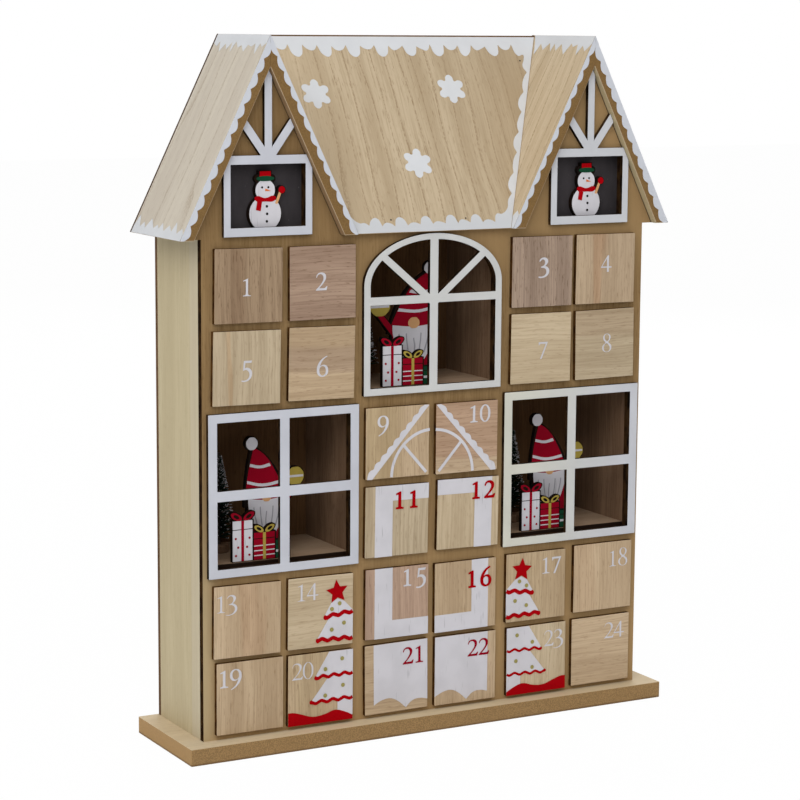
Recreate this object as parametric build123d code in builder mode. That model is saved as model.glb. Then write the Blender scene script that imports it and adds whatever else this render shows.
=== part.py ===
from build123d import *
import math
import os

# Wooden advent calendar: a house front with two gables, 24 drawers and five windows.
# Millimetres. +Z is up, the front faces -Y, and the origin is under the middle of the base board.

# Board thicknesses
base_thickness = 10.0
front_thickness = 4.5
wall_thickness = 6.0
upright_thickness = 6.0
back_thickness = 3.0
roof_thickness = 8.0
attic_floor_thickness = 4.0
shelf_thickness = 3.0
room_shelf_thickness = 6.0
frame_thickness = 3.0
backing_thickness = 2.0
cutout_thickness = 3.0

# Drawers: a square face that laps over the front panel, and a tray behind it
drawer_face = 43.0
face_thickness = 3.0
face_lip = 1.5
tray_clearance = 0.3
tray_wall = 2.5
tray_length = 60.0
tray_back_gap = 3.0

# Spacing of the faces and windows on the front
column_gap = 4.5
row_gap = 3.7
upright_gap = 8.2
side_margin = 6.05
bottom_margin = 2.7
top_margin = 6.0
window_gap = 4.4
centre_gap = 7.4

# Base board and roof overhangs
base_side_overhang = 13.0
base_front_overhang = 12.0
back_overhang = 1.0
roof_front_overhang = 6.0
eave_reach = 15.5

# Roof slopes
gable_half_span = 56.5
gable_rise = 115.0
main_eave_overhang = 4.0
ridge_drop = 1.1
back_ridge_lip = 0.6

# Square windows of the two side rooms
window_height = 96.1
window_reach = 3.45
window_side_member = 5.7
window_rail = 5.2
window_mullion = 6.2

# Arched window of the middle room
arch_reach = 1.75
arch_top_gap = 1.0
arch_rise = 30.0
arch_member = 4.4
arch_rail = 4.3
arch_crown = 3.7
arch_mullion = 5.7
arch_muntin = 5.0
arch_muntin_drop = 9.0
arch_spoke = 4.5
arch_spoke_angle = 40.0

# Attic windows with three spokes above the pane
attic_height = 46.0
attic_panel_edge = 1.9
attic_sill = 1.0
attic_side_member = 4.4
attic_rail = 5.1
attic_spoke = 4.8
attic_spoke_angle = 36.0
attic_roof_clearance = 0.3

# Panel openings are this much wider than the frame's panes, on each side
opening_reveal = 1.0
backing_lap = 1.5

# Cut-out figures standing in the rooms
figure_width = 28.0
figure_height = 72.0
figure_setback = 22.0
gifts_width = 38.0
gifts_height = 25.0
gifts_setback = 8.0
gifts_shift = 29.0
arch_figure_width = 34.0
arch_figure_height = 74.0
snowman_width = 26.0
snowman_headroom = 2.8

# Bottle-brush trees standing in the rooms
tree_height = 60.0
tree_radius = 12.0
tree_tip_radius = 2.5
tree_setback = 39.5
left_tree_offset = 22.3
arched_tree_offset = 19.2
right_tree_offset = 28.7
tree_foot_radius = 6.0
tree_foot_height = 5.0
tree_trunk = 9.0
stem_radius = 1.5
strand_radius = 0.4
strand_root_share = 0.8
strand_rise_angle = 20.0
tier_count = 13
strands_per_tier = 10

# Shapes of the cut-outs, as shares of their width and height
snowman_body_share = 0.32
snowman_sit_share = 0.8
snowman_head_share = 0.2
snowman_head_height_share = 0.66
snowman_cap_share = 0.62
snowman_pom_share = 0.075
snowman_arm_share = 1.2
gnome_body_shares = [(-0.42, 0), (0.42, 0), (0.5, 0.16), (0.44, 0.45), (-0.44, 0.45), (-0.5, 0.16)]
gnome_brim_shares = [(-0.52, 0.4), (0.52, 0.4)]
gnome_cap_right_share = (0.47, 0.67)
gnome_cap_left_share = (-0.2, 0.73)
gnome_tip_share = (0.34, 0.93)
gnome_pom_share = 0.06
gnome_arm_shares = [(-0.25, 0.32), (-0.68, 0.56)]
gnome_arm_width_share = 0.06
gnome_bauble_share = (-0.68, 0.63)
gnome_bauble_size_share = 0.085
gift_shares = [(0.19, 0.36, 1.0, 0.16), (0.56, 0.38, 0.68, 0.14), (0.87, 0.25, 0.46, 0)]
gift_bow_length_share = 1.1
gift_bow_height_share = 0.6
gift_bow_angle = 30.0

# Lengths worked out from the sizes above
opening_side = drawer_face - 2 * face_lip
column_pitch = drawer_face + column_gap
row_pitch = drawer_face + row_gap
floor_thickness = bottom_margin + face_lip

centre_half = drawer_face + column_gap / 2
side_start = centre_half + upright_gap
side_face_width = 2 * drawer_face + column_gap
house_half = side_start + side_face_width + side_margin
block_x = side_start + side_face_width / 2
upright_x = centre_half + upright_gap / 2
wall_inner_x = house_half - wall_thickness
upright_outer_x = upright_x + upright_thickness / 2
upright_inner_x = upright_x - upright_thickness / 2

house_depth = tray_length + tray_back_gap + back_thickness
base_depth = base_front_overhang + house_depth + back_overhang
front_y = base_front_overhang - base_depth / 2
inside_y = front_y + front_thickness
back_y = front_y + house_depth
back_inside_y = back_y - back_thickness
roof_front_y = front_y - roof_front_overhang
roof_back_y = back_y + back_overhang

floor_z = base_thickness + floor_thickness
row_a_z = base_thickness + bottom_margin + drawer_face / 2
row_b_z = row_a_z + row_pitch
window_bottom_z = row_b_z + drawer_face / 2 + window_gap
window_top_z = window_bottom_z + window_height
row_d_z = window_top_z + window_gap + drawer_face / 2
row_e_z = row_d_z + row_pitch
eave_z = row_e_z + drawer_face / 2 + top_margin
row_lower_centre_z = row_b_z + centre_gap + drawer_face
row_upper_centre_z = row_lower_centre_z + row_pitch
arch_bottom_z = row_upper_centre_z + drawer_face / 2 + centre_gap
arch_spring_z = eave_z - arch_top_gap - arch_rise
attic_floor_z = eave_z - attic_floor_thickness

gable_x = house_half + eave_reach - gable_half_span
gable_slope = gable_rise / gable_half_span
gable_angle = math.atan(gable_slope)
gable_ridge_z = eave_z + gable_rise
eave_width = roof_thickness / math.sin(gable_angle)
inner_half_span = gable_half_span - eave_width
inner_ridge_z = eave_z + inner_half_span * gable_slope
wall_top_z = eave_z + (gable_x + inner_half_span - house_half) * gable_slope
wall_inner_top_z = wall_top_z + wall_thickness * gable_slope

main_eave_y = front_y - main_eave_overhang
main_ridge_z = gable_ridge_z - ridge_drop
main_slope = (main_ridge_z - eave_z) / (back_inside_y - main_eave_y)
main_eave_width = roof_thickness / math.sin(math.atan(main_slope))
main_plumb = roof_thickness / math.cos(math.atan(main_slope))
back_ridge_z = main_ridge_z + back_ridge_lip
back_ridge_x = gable_x - (gable_ridge_z - back_ridge_z) / gable_slope

window_half = side_face_width / 2 + window_reach
window_mid_z = (window_bottom_z + window_top_z) / 2
pane_half = window_half - window_side_member
pane_height = window_height - 2 * window_rail
arch_half = centre_half + arch_reach
muntin_z = arch_spring_z - arch_muntin_drop
attic_bottom_z = eave_z + attic_sill
attic_mid_z = attic_bottom_z + attic_height / 2
attic_pane_height = attic_height - 2 * attic_rail
attic_pane_bottom_z = attic_bottom_z + attic_rail
attic_opening_top_z = attic_pane_bottom_z + attic_pane_height + opening_reveal
attic_opening_half = (inner_ridge_z - attic_opening_top_z) / gable_slope - attic_panel_edge
attic_pane_width = 2 * (attic_opening_half - opening_reveal)
attic_width = attic_pane_width + 2 * attic_side_member
snowman_height = attic_pane_height - snowman_headroom

# Centre of each drawer, in the order of its number
left_columns = (-block_x - column_pitch / 2, -block_x + column_pitch / 2)
middle_columns = (-column_pitch / 2, column_pitch / 2)
right_columns = (block_x - column_pitch / 2, block_x + column_pitch / 2)
drawer_rows = [
    (row_e_z, left_columns + right_columns),
    (row_d_z, left_columns + right_columns),
    (row_upper_centre_z, middle_columns),
    (row_lower_centre_z, middle_columns),
    (row_b_z, left_columns + middle_columns + right_columns),
    (row_a_z, left_columns + middle_columns + right_columns),
]
drawer_centres = [(x, z) for z, columns in drawer_rows for x in columns]


def save(piece, name):
    """Name a finished piece and write it."""
    piece.part.label = name
    export_step(piece.part, f"parts/{name}.step")


def save_group(pieces, name):
    """Write several separate boards as one named group."""
    group = Compound(label=name, children=[piece.part for piece in pieces])
    export_step(group, f"parts/{name}.step")


def board(low, high):
    """Rectangular board between two opposite corners."""
    width, depth, height = (end - start for start, end in zip(low, high))
    with BuildPart() as piece:
        with Locations(low):
            Box(width, depth, height, align=(Align.MIN, Align.MIN, Align.MIN))
    return piece


def facing(y):
    """Upright plane at y: a sheet drawn on it grows towards the front."""
    return Plane.XZ.offset(-y)


def outline(points, mode=Mode.ADD):
    """Closed face through straight corners, inside a sketch."""
    with BuildLine() as edge:
        Polyline(*points, close=True)
    make_face(edge.edges(), mode=mode)


def arch_face(half_width, bottom, rise, mode=Mode.ADD):
    """Face with straight sides and half an ellipse on top, inside a sketch."""
    with BuildLine() as edge:
        Line((-half_width, arch_spring_z), (-half_width, bottom))
        Line((-half_width, bottom), (half_width, bottom))
        Line((half_width, bottom), (half_width, arch_spring_z))
        EllipticalCenterArc((0, arch_spring_z), half_width, rise, start_angle=0, arc_size=180)
    make_face(edge.edges(), mode=mode)


def gable_underside(x, clearance):
    """Triangle that the two panels of a gable leave between their undersides."""
    half = inner_half_span - clearance / math.sin(gable_angle)
    return [(x - half, eave_z), (x + half, eave_z), (x, eave_z + half * gable_slope)]


def snowman_face(x, bottom):
    """Waving snowman with a cap, cut off level at the bottom, inside a sketch."""
    body_radius = snowman_height * snowman_body_share
    head_radius = snowman_height * snowman_head_share
    head_z = bottom + snowman_height * snowman_head_height_share
    pom_radius = snowman_height * snowman_pom_share
    with Locations((x, bottom + body_radius * snowman_sit_share)):
        Circle(body_radius)
    with Locations((x, head_z)):
        Circle(head_radius)
        Rectangle(2 * head_radius * snowman_cap_share, snowman_height, align=(Align.CENTER, Align.MIN))
    with Locations((x, head_z + head_radius)):
        SlotOverall(2 * head_radius, pom_radius * 2)
    with Locations((x + snowman_width / 2 - pom_radius, head_z)):
        Circle(pom_radius)
    arm_root = (x, bottom + body_radius)
    arm_tip = (x + snowman_width / 2 - pom_radius, head_z)
    SlotCenterPoint(
        center=((arm_root[0] + arm_tip[0]) / 2, (arm_root[1] + arm_tip[1]) / 2),
        point=arm_tip,
        height=pom_radius * snowman_arm_share,
    )
    with Locations((x, bottom)):
        Rectangle(snowman_width, snowman_height, align=(Align.CENTER, Align.MIN), mode=Mode.INTERSECT)


def gnome_face(x, floor, width, height, lean):
    """Gnome with a tall cap that leans to one side and a bauble held up on the other, inside a sketch."""
    def at(share):
        return (x + lean * share[0] * width, floor + share[1] * height)

    outline([at(share) for share in gnome_body_shares])
    with BuildLine() as edge:
        Line(at(gnome_brim_shares[0]), at(gnome_brim_shares[1]))
        ThreePointArc(at(gnome_brim_shares[1]), at(gnome_cap_right_share), at(gnome_tip_share))
        ThreePointArc(at(gnome_tip_share), at(gnome_cap_left_share), at(gnome_brim_shares[0]))
    make_face(edge.edges())
    with Locations(at(gnome_tip_share)):
        Circle(height * gnome_pom_share)
    shoulder, hand = (at(share) for share in gnome_arm_shares)
    SlotCenterPoint(
        center=((shoulder[0] + hand[0]) / 2, (shoulder[1] + hand[1]) / 2),
        point=hand,
        height=height * gnome_arm_width_share,
    )
    with Locations(at(gnome_bauble_share)):
        Circle(height * gnome_bauble_size_share)


def gifts_face(x, floor):
    """Three wrapped boxes side by side, two of them with bows, inside a sketch."""
    for centre_share, width_share, height_share, bow_share in gift_shares:
        box_x = x + centre_share * gifts_width
        box_height = height_share * gifts_height
        bow = bow_share * gifts_height
        bow_size = (bow * gift_bow_length_share, bow * gift_bow_height_share)
        with Locations((box_x, floor)):
            Rectangle(width_share * gifts_width, box_height, align=(Align.CENTER, Align.MIN))
        for lean in (-1, 1):
            if bow:
                with Locations((box_x + lean * bow, floor + box_height + bow / 2)):
                    Ellipse(*bow_size, rotation=lean * gift_bow_angle)


def strand_tier(tier):
    """One ring of strands of a bottle-brush tree that stands at the origin."""
    tier_step = (tree_height - tree_trunk - tree_tip_radius) / tier_count
    root_radius = stem_radius * strand_root_share
    reach = tree_radius + (tree_tip_radius - tree_radius) * tier / tier_count - root_radius
    rise = math.radians(strand_rise_angle)
    planes = []
    for strand in range(strands_per_tier):
        turn = math.tau * (strand + tier / 2) / strands_per_tier
        across, along = math.cos(turn), math.sin(turn)
        root = (root_radius * across, root_radius * along, tree_trunk + tier * tier_step)
        planes.append(Plane(root, z_dir=(across, along, math.tan(rise))))
    with BuildPart() as ring:
        with BuildSketch(*planes):
            RegularPolygon(strand_radius, side_count=3)
        extrude(amount=reach / math.cos(rise))
    return ring.part


def drawer_boards(x, z):
    """Face, bottom, two sides, front and back of one drawer."""
    half_face = drawer_face / 2
    half = opening_side / 2 - tray_clearance
    inner = half - tray_wall
    end_y = front_y + tray_length
    low, high = z - half, z + half
    face_low = (x - half_face, front_y - face_thickness, z - half_face)
    face_high = (x + half_face, front_y, z + half_face)
    return [
        board(face_low, face_high),
        board((x - half, front_y, low), (x + half, end_y, low + tray_wall)),
        board((x - half, front_y, low + tray_wall), (x - inner, end_y, high)),
        board((x + inner, front_y, low + tray_wall), (x + half, end_y, high)),
        board((x - inner, front_y, low + tray_wall), (x + inner, front_y + tray_wall, high)),
        board((x - inner, end_y - tray_wall, low + tray_wall), (x + inner, end_y, high)),
    ]


os.makedirs("parts", exist_ok=True)

# Base board and the carcass that stands on it
base_half = house_half + base_side_overhang
base_front_y = front_y - base_front_overhang
base_board = board((-base_half, base_front_y, 0), (base_half, back_y + back_overhang, base_thickness))
save(base_board, "base_board")

house_floor = board((-wall_inner_x, inside_y, base_thickness), (wall_inner_x, back_inside_y, floor_z))
save(house_floor, "house_floor")

attic_floor = board((-wall_inner_x, inside_y, attic_floor_z), (wall_inner_x, back_inside_y, eave_z))
save(attic_floor, "attic_floor")

for side, sign in (("left", -1), ("right", 1)):
    with BuildPart() as wall:
        with BuildSketch(facing(back_inside_y)):
            outline([
                (sign * house_half, base_thickness),
                (sign * house_half, wall_top_z),
                (sign * wall_inner_x, wall_inner_top_z),
                (sign * wall_inner_x, base_thickness),
            ])
        extrude(amount=back_inside_y - inside_y)
    save(wall, f"{side}_wall")

    upright_low = (sign * upright_x - upright_thickness / 2, inside_y, floor_z)
    upright_high = (sign * upright_x + upright_thickness / 2, back_inside_y, attic_floor_z)
    save(board(upright_low, upright_high), f"{side}_upright")

# Shelves and dividers between the drawers. Each shelf is level with the openings above it.
lower_shelf_z = row_b_z - opening_side / 2
upper_shelf_z = row_e_z - opening_side / 2
room_ceiling_z = row_d_z - opening_side / 2
room_floor_z = window_bottom_z + room_shelf_thickness
arch_floor_z = arch_bottom_z + shelf_thickness
centre_shelf_tops = [
    lower_shelf_z,
    row_lower_centre_z - opening_side / 2,
    row_upper_centre_z - opening_side / 2,
    arch_floor_z,
]


def shelf(x_low, x_high, top, thickness):
    """Board across the depth of the house."""
    return board((x_low, inside_y, top - thickness), (x_high, back_inside_y, top))


def divider(x, bottom, top):
    """Upright board between two drawers of one row."""
    half = shelf_thickness / 2
    return board((x - half, inside_y, bottom), (x + half, back_inside_y, top))


side_spans = [(-wall_inner_x, -upright_outer_x), (upright_outer_x, wall_inner_x)]
room_shelves = [
    shelf(*span, top, room_shelf_thickness)
    for span in side_spans
    for top in (room_floor_z, room_ceiling_z)
]
save_group(room_shelves, "side_room_shelves")

side_shelves = [
    shelf(*span, top, shelf_thickness)
    for span in side_spans
    for top in (lower_shelf_z, upper_shelf_z)
]
save_group(side_shelves, "side_drawer_shelves")

centre_shelves = [
    shelf(-upright_inner_x, upright_inner_x, top, shelf_thickness) for top in centre_shelf_tops
]
save_group(centre_shelves, "centre_shelves")

side_cells = [
    (floor_z, lower_shelf_z - shelf_thickness),
    (lower_shelf_z, window_bottom_z),
    (room_ceiling_z, upper_shelf_z - shelf_thickness),
    (upper_shelf_z, attic_floor_z),
]
cell_bottoms = [floor_z] + centre_shelf_tops[:-1]
cell_tops = [top - shelf_thickness for top in centre_shelf_tops]
dividers = [divider(x, *cell) for x in (-block_x, block_x) for cell in side_cells]
dividers += [divider(0, *cell) for cell in zip(cell_bottoms, cell_tops)]
save_group(dividers, "drawer_dividers")

# Front panel: one sheet with both gables, cut out for drawers and windows
attic_opening = (2 * attic_opening_half, attic_pane_height + 2 * opening_reveal)
inner_eave_x = gable_x - inner_half_span
outer_eave_x = gable_x + inner_half_span
with BuildPart() as front_panel:
    with BuildSketch(facing(inside_y)):
        outline([
            (-house_half, base_thickness),
            (house_half, base_thickness),
            (house_half, eave_z),
            (outer_eave_x, eave_z),
            (gable_x, inner_ridge_z),
            (inner_eave_x, eave_z),
            (-inner_eave_x, eave_z),
            (-gable_x, inner_ridge_z),
            (-outer_eave_x, eave_z),
            (-house_half, eave_z),
        ])
        with Locations(*drawer_centres):
            Rectangle(opening_side, opening_side, mode=Mode.SUBTRACT)
        with Locations((-block_x, window_mid_z), (block_x, window_mid_z)):
            Rectangle(
                2 * (pane_half + opening_reveal), pane_height + 2 * opening_reveal, mode=Mode.SUBTRACT
            )
        with Locations((-gable_x, attic_mid_z), (gable_x, attic_mid_z)):
            Rectangle(*attic_opening, mode=Mode.SUBTRACT)
        arch_face(
            arch_half - arch_member + opening_reveal,
            arch_bottom_z + arch_rail - opening_reveal,
            arch_rise - arch_crown + opening_reveal,
            mode=Mode.SUBTRACT,
        )
    extrude(amount=front_thickness)
save(front_panel, "front_panel")

# Back panel: one sheet, slotted for the inner roof panels, and as high as the main ridge
with BuildPart() as back_panel:
    with BuildSketch(facing(back_y)):
        outline([
            (-house_half, base_thickness),
            (house_half, base_thickness),
            (house_half, wall_top_z),
            (gable_x, inner_ridge_z),
            (inner_eave_x, eave_z),
            (gable_x - gable_half_span, eave_z),
            (back_ridge_x, back_ridge_z),
            (-back_ridge_x, back_ridge_z),
            (gable_half_span - gable_x, eave_z),
            (-inner_eave_x, eave_z),
            (-gable_x, inner_ridge_z),
            (-house_half, wall_top_z),
        ])
    extrude(amount=back_thickness)
save(back_panel, "back_panel")

# Gable roofs: two panels each, mitred at the ridge and cut level at the eave
for side, sign in (("left", -1), ("right", 1)):
    for place, direction in (("outer", sign), ("inner", -sign)):
        with BuildPart() as roof_panel:
            with BuildSketch(facing(roof_back_y)):
                outline([
                    (sign * gable_x, gable_ridge_z),
                    (sign * gable_x + direction * gable_half_span, eave_z),
                    (sign * gable_x + direction * inner_half_span, eave_z),
                    (sign * gable_x, inner_ridge_z),
                ])
            extrude(amount=roof_back_y - roof_front_y)
        save(roof_panel, f"{side}_roof_{place}")

# Main roof: one sloping panel between the gables, bevelled to lie on their inner slopes
with BuildPart() as main_roof:
    with BuildSketch(Plane.YZ.offset(-gable_x)):
        outline([
            (main_eave_y, eave_z),
            (back_inside_y, main_ridge_z),
            (back_inside_y, main_ridge_z - main_plumb),
            (main_eave_y + main_eave_width, eave_z),
        ])
    extrude(amount=2 * gable_x)
    with BuildSketch(facing(roof_back_y)):
        for x in (-gable_x, gable_x):
            outline([(x - gable_half_span, eave_z), (x + gable_half_span, eave_z), (x, gable_ridge_z)])
    extrude(amount=roof_back_y - roof_front_y, mode=Mode.SUBTRACT)
save(main_roof, "main_roof")

# Square window frames, glued on the front panel
for side, sign in (("left", -1), ("right", 1)):
    with BuildPart() as window_frame:
        with BuildSketch(facing(front_y)):
            with Locations((sign * block_x, window_mid_z)):
                Rectangle(2 * window_half, window_height)
                Rectangle(2 * pane_half, pane_height, mode=Mode.SUBTRACT)
                Rectangle(window_mullion, window_height)
                Rectangle(2 * window_half, window_mullion)
        extrude(amount=frame_thickness)
    save(window_frame, f"{side}_window_frame")

# Arched window frame: a ring, a cross of mullion and muntin, and two spokes from their crossing
with BuildPart() as arched_frame:
    with BuildSketch(facing(front_y)):
        arch_face(arch_half, arch_bottom_z, arch_rise)
        arch_face(
            arch_half - arch_member,
            arch_bottom_z + arch_rail,
            arch_rise - arch_crown,
            mode=Mode.SUBTRACT,
        )
    extrude(amount=frame_thickness)
    with BuildSketch(facing(front_y)):
        with Locations((0, muntin_z)):
            Rectangle(2 * arch_half, arch_muntin)
            Rectangle(arch_mullion, 2 * (muntin_z - arch_bottom_z))
        with Locations((0, muntin_z - arch_muntin / 2)):
            for angle in (arch_spoke_angle, 180 - arch_spoke_angle):
                Rectangle(2 * arch_half, arch_spoke, rotation=angle, align=(Align.MIN, Align.CENTER))
        arch_face(
            arch_half - arch_member / 2,
            arch_bottom_z + arch_rail / 2,
            arch_rise - arch_crown / 2,
            mode=Mode.INTERSECT,
        )
    extrude(amount=frame_thickness)
save(arched_frame, "arched_window_frame")

# Attic windows: frame with spokes, a dark backing behind the panel and a snowman on it
for side, sign in (("left", -1), ("right", 1)):
    attic_x = sign * gable_x
    with BuildPart() as attic_frame:
        with BuildSketch(facing(front_y)):
            with Locations((attic_x, attic_mid_z)):
                Rectangle(attic_width, attic_height)
                Rectangle(attic_pane_width, attic_pane_height, mode=Mode.SUBTRACT)
            with Locations((attic_x, attic_bottom_z + attic_height - attic_rail / 2)):
                for angle in (-attic_spoke_angle, 0, attic_spoke_angle):
                    Rectangle(attic_spoke, gable_rise, rotation=angle, align=(Align.CENTER, Align.MIN))
            outline(gable_underside(attic_x, attic_roof_clearance), mode=Mode.INTERSECT)
        extrude(amount=frame_thickness)
    save(attic_frame, f"{side}_attic_frame")

    with BuildPart() as attic_backing:
        with BuildSketch(facing(inside_y + backing_thickness)):
            with Locations((attic_x, attic_mid_z)):
                Rectangle(attic_opening[0] + 2 * backing_lap, attic_opening[1] + 2 * backing_lap)
            outline(gable_underside(attic_x, attic_roof_clearance), mode=Mode.INTERSECT)
        extrude(amount=backing_thickness)
    save(attic_backing, f"{side}_attic_backing")

    with BuildPart() as attic_figure:
        with BuildSketch(facing(inside_y)):
            snowman_face(attic_x, attic_pane_bottom_z - opening_reveal)
        extrude(amount=cutout_thickness)
    save(attic_figure, f"{side}_attic_figure")

# Cut-out figures and gifts on the floors of the three rooms
room_places = [
    ("left", -block_x, room_floor_z, figure_width, figure_height, -1),
    ("arched", 0, arch_floor_z, arch_figure_width, arch_figure_height, 1),
    ("right", block_x, room_floor_z, figure_width, figure_height, -1),
]
for room, x, floor, width, height, lean in room_places:
    with BuildPart() as figure:
        with BuildSketch(facing(front_y + figure_setback + cutout_thickness)):
            gnome_face(x, floor, width, height, lean)
        extrude(amount=cutout_thickness)
    save(figure, f"{room}_room_figure")

    with BuildPart() as gifts:
        with BuildSketch(facing(front_y + gifts_setback + cutout_thickness)):
            gifts_face(x - gifts_shift, floor)
        extrude(amount=cutout_thickness)
    save(gifts, f"{room}_room_gifts")

# Bottle-brush trees: staggered tiers of strands round a wire stem on a small foot
tiers = [strand_tier(tier) for tier in range(tier_count)]
with BuildPart() as brush_tree:
    Cylinder(tree_foot_radius, tree_foot_height, align=(Align.CENTER, Align.CENTER, Align.MIN))
    Cylinder(stem_radius, tree_height, align=(Align.CENTER, Align.CENTER, Align.MIN))
    add(tiers)
tree_places = [
    ("left", -wall_inner_x + left_tree_offset, room_floor_z),
    ("arched", -upright_inner_x + arched_tree_offset, arch_floor_z),
    ("right", upright_outer_x + right_tree_offset, room_floor_z),
]
for room, x, floor in tree_places:
    with BuildPart() as room_tree:
        with Locations((x, front_y + tree_setback, floor)):
            add(brush_tree.part)
    save(room_tree, f"{room}_room_tree")

# Drawers, numbered from the top left to the bottom right
for number, (x, z) in enumerate(drawer_centres, start=1):
    save_group(drawer_boards(x, z), f"drawer_{number:02d}")
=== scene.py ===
import math
import random
from functools import partial
import bpy
from bpy.props import FloatProperty, FloatVectorProperty, IntProperty, PointerProperty
from bpy.types import Operator, Panel, PropertyGroup
from mathutils import Matrix, Vector


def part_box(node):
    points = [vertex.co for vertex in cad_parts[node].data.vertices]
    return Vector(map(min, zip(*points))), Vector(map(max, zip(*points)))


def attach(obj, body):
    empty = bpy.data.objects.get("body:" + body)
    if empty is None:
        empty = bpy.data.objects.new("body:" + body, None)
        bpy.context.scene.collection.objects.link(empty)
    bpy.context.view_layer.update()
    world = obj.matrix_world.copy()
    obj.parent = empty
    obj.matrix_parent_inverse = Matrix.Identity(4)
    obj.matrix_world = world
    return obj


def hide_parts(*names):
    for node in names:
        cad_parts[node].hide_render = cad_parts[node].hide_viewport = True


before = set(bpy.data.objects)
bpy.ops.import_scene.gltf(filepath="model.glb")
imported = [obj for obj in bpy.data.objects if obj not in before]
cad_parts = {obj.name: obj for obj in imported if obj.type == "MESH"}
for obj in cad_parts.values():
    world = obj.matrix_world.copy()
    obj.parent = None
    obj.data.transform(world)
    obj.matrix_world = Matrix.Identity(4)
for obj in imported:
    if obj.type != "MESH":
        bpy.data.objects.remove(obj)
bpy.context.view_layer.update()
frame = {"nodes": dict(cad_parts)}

bl_info = {
    "name": "Wooden Advent Calendar",
    "version": (1, 0, 0),
    "blender": (4, 5, 0),
    "location": "View3D > Sidebar > Calendar",
    "description": "Finishes, numbers, snow and small figures of a wooden advent calendar",
    "category": "Object",
}

MM = 0.001
SIDES = (("left", -1), ("right", 1))
ROOMS = ("left", "arched", "right")
FACE_FRONT = Matrix(((1, 0, 0, 0), (0, 0, -1, 0), (0, 1, 0, 0), (0, 0, 0, 1)))


# Settings


def card(red, green, blue):
    """Linear colour from the 0 to 255 values on a colour card."""
    shares = (red / 255, green / 255, blue / 255)
    return tuple(c / 12.92 if c <= 0.04045 else ((c + 0.055) / 1.055) ** 2.4 for c in shares)


def colour(name, description, *values):
    return FloatVectorProperty(
        name=name, description=description, default=card(*values), subtype="COLOR", size=3, min=0, max=1
    )


def length(name, description, millimetres):
    return FloatProperty(
        name=name, description=description, default=millimetres * MM, min=0,
        unit="LENGTH", subtype="DISTANCE",
    )


class CalendarSizes(PropertyGroup):
    """Sizes of the painted and bristly details"""

    paint: length("Paint", "Thickness of one coat of paint", 0.12)
    edge: length("Edge", "Rounding of the edges of cut boards", 0.3)
    number_height: length("Number height", "Height of the figure one on the drawers", 10.3)
    scallop_pitch: length("Scallop pitch", "Pitch of the snow scallops on the gable edges", 9.2)
    flower_radius: length("Flower radius", "Radius of the snow flowers on the roof", 9.8)
    strand: length("Strand", "Thickness of a tree strand at its root", 0.36)
    strand_count: IntProperty(
        name="Strands", description="Strands in one winding of a tree", default=420, min=10
    )


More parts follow.
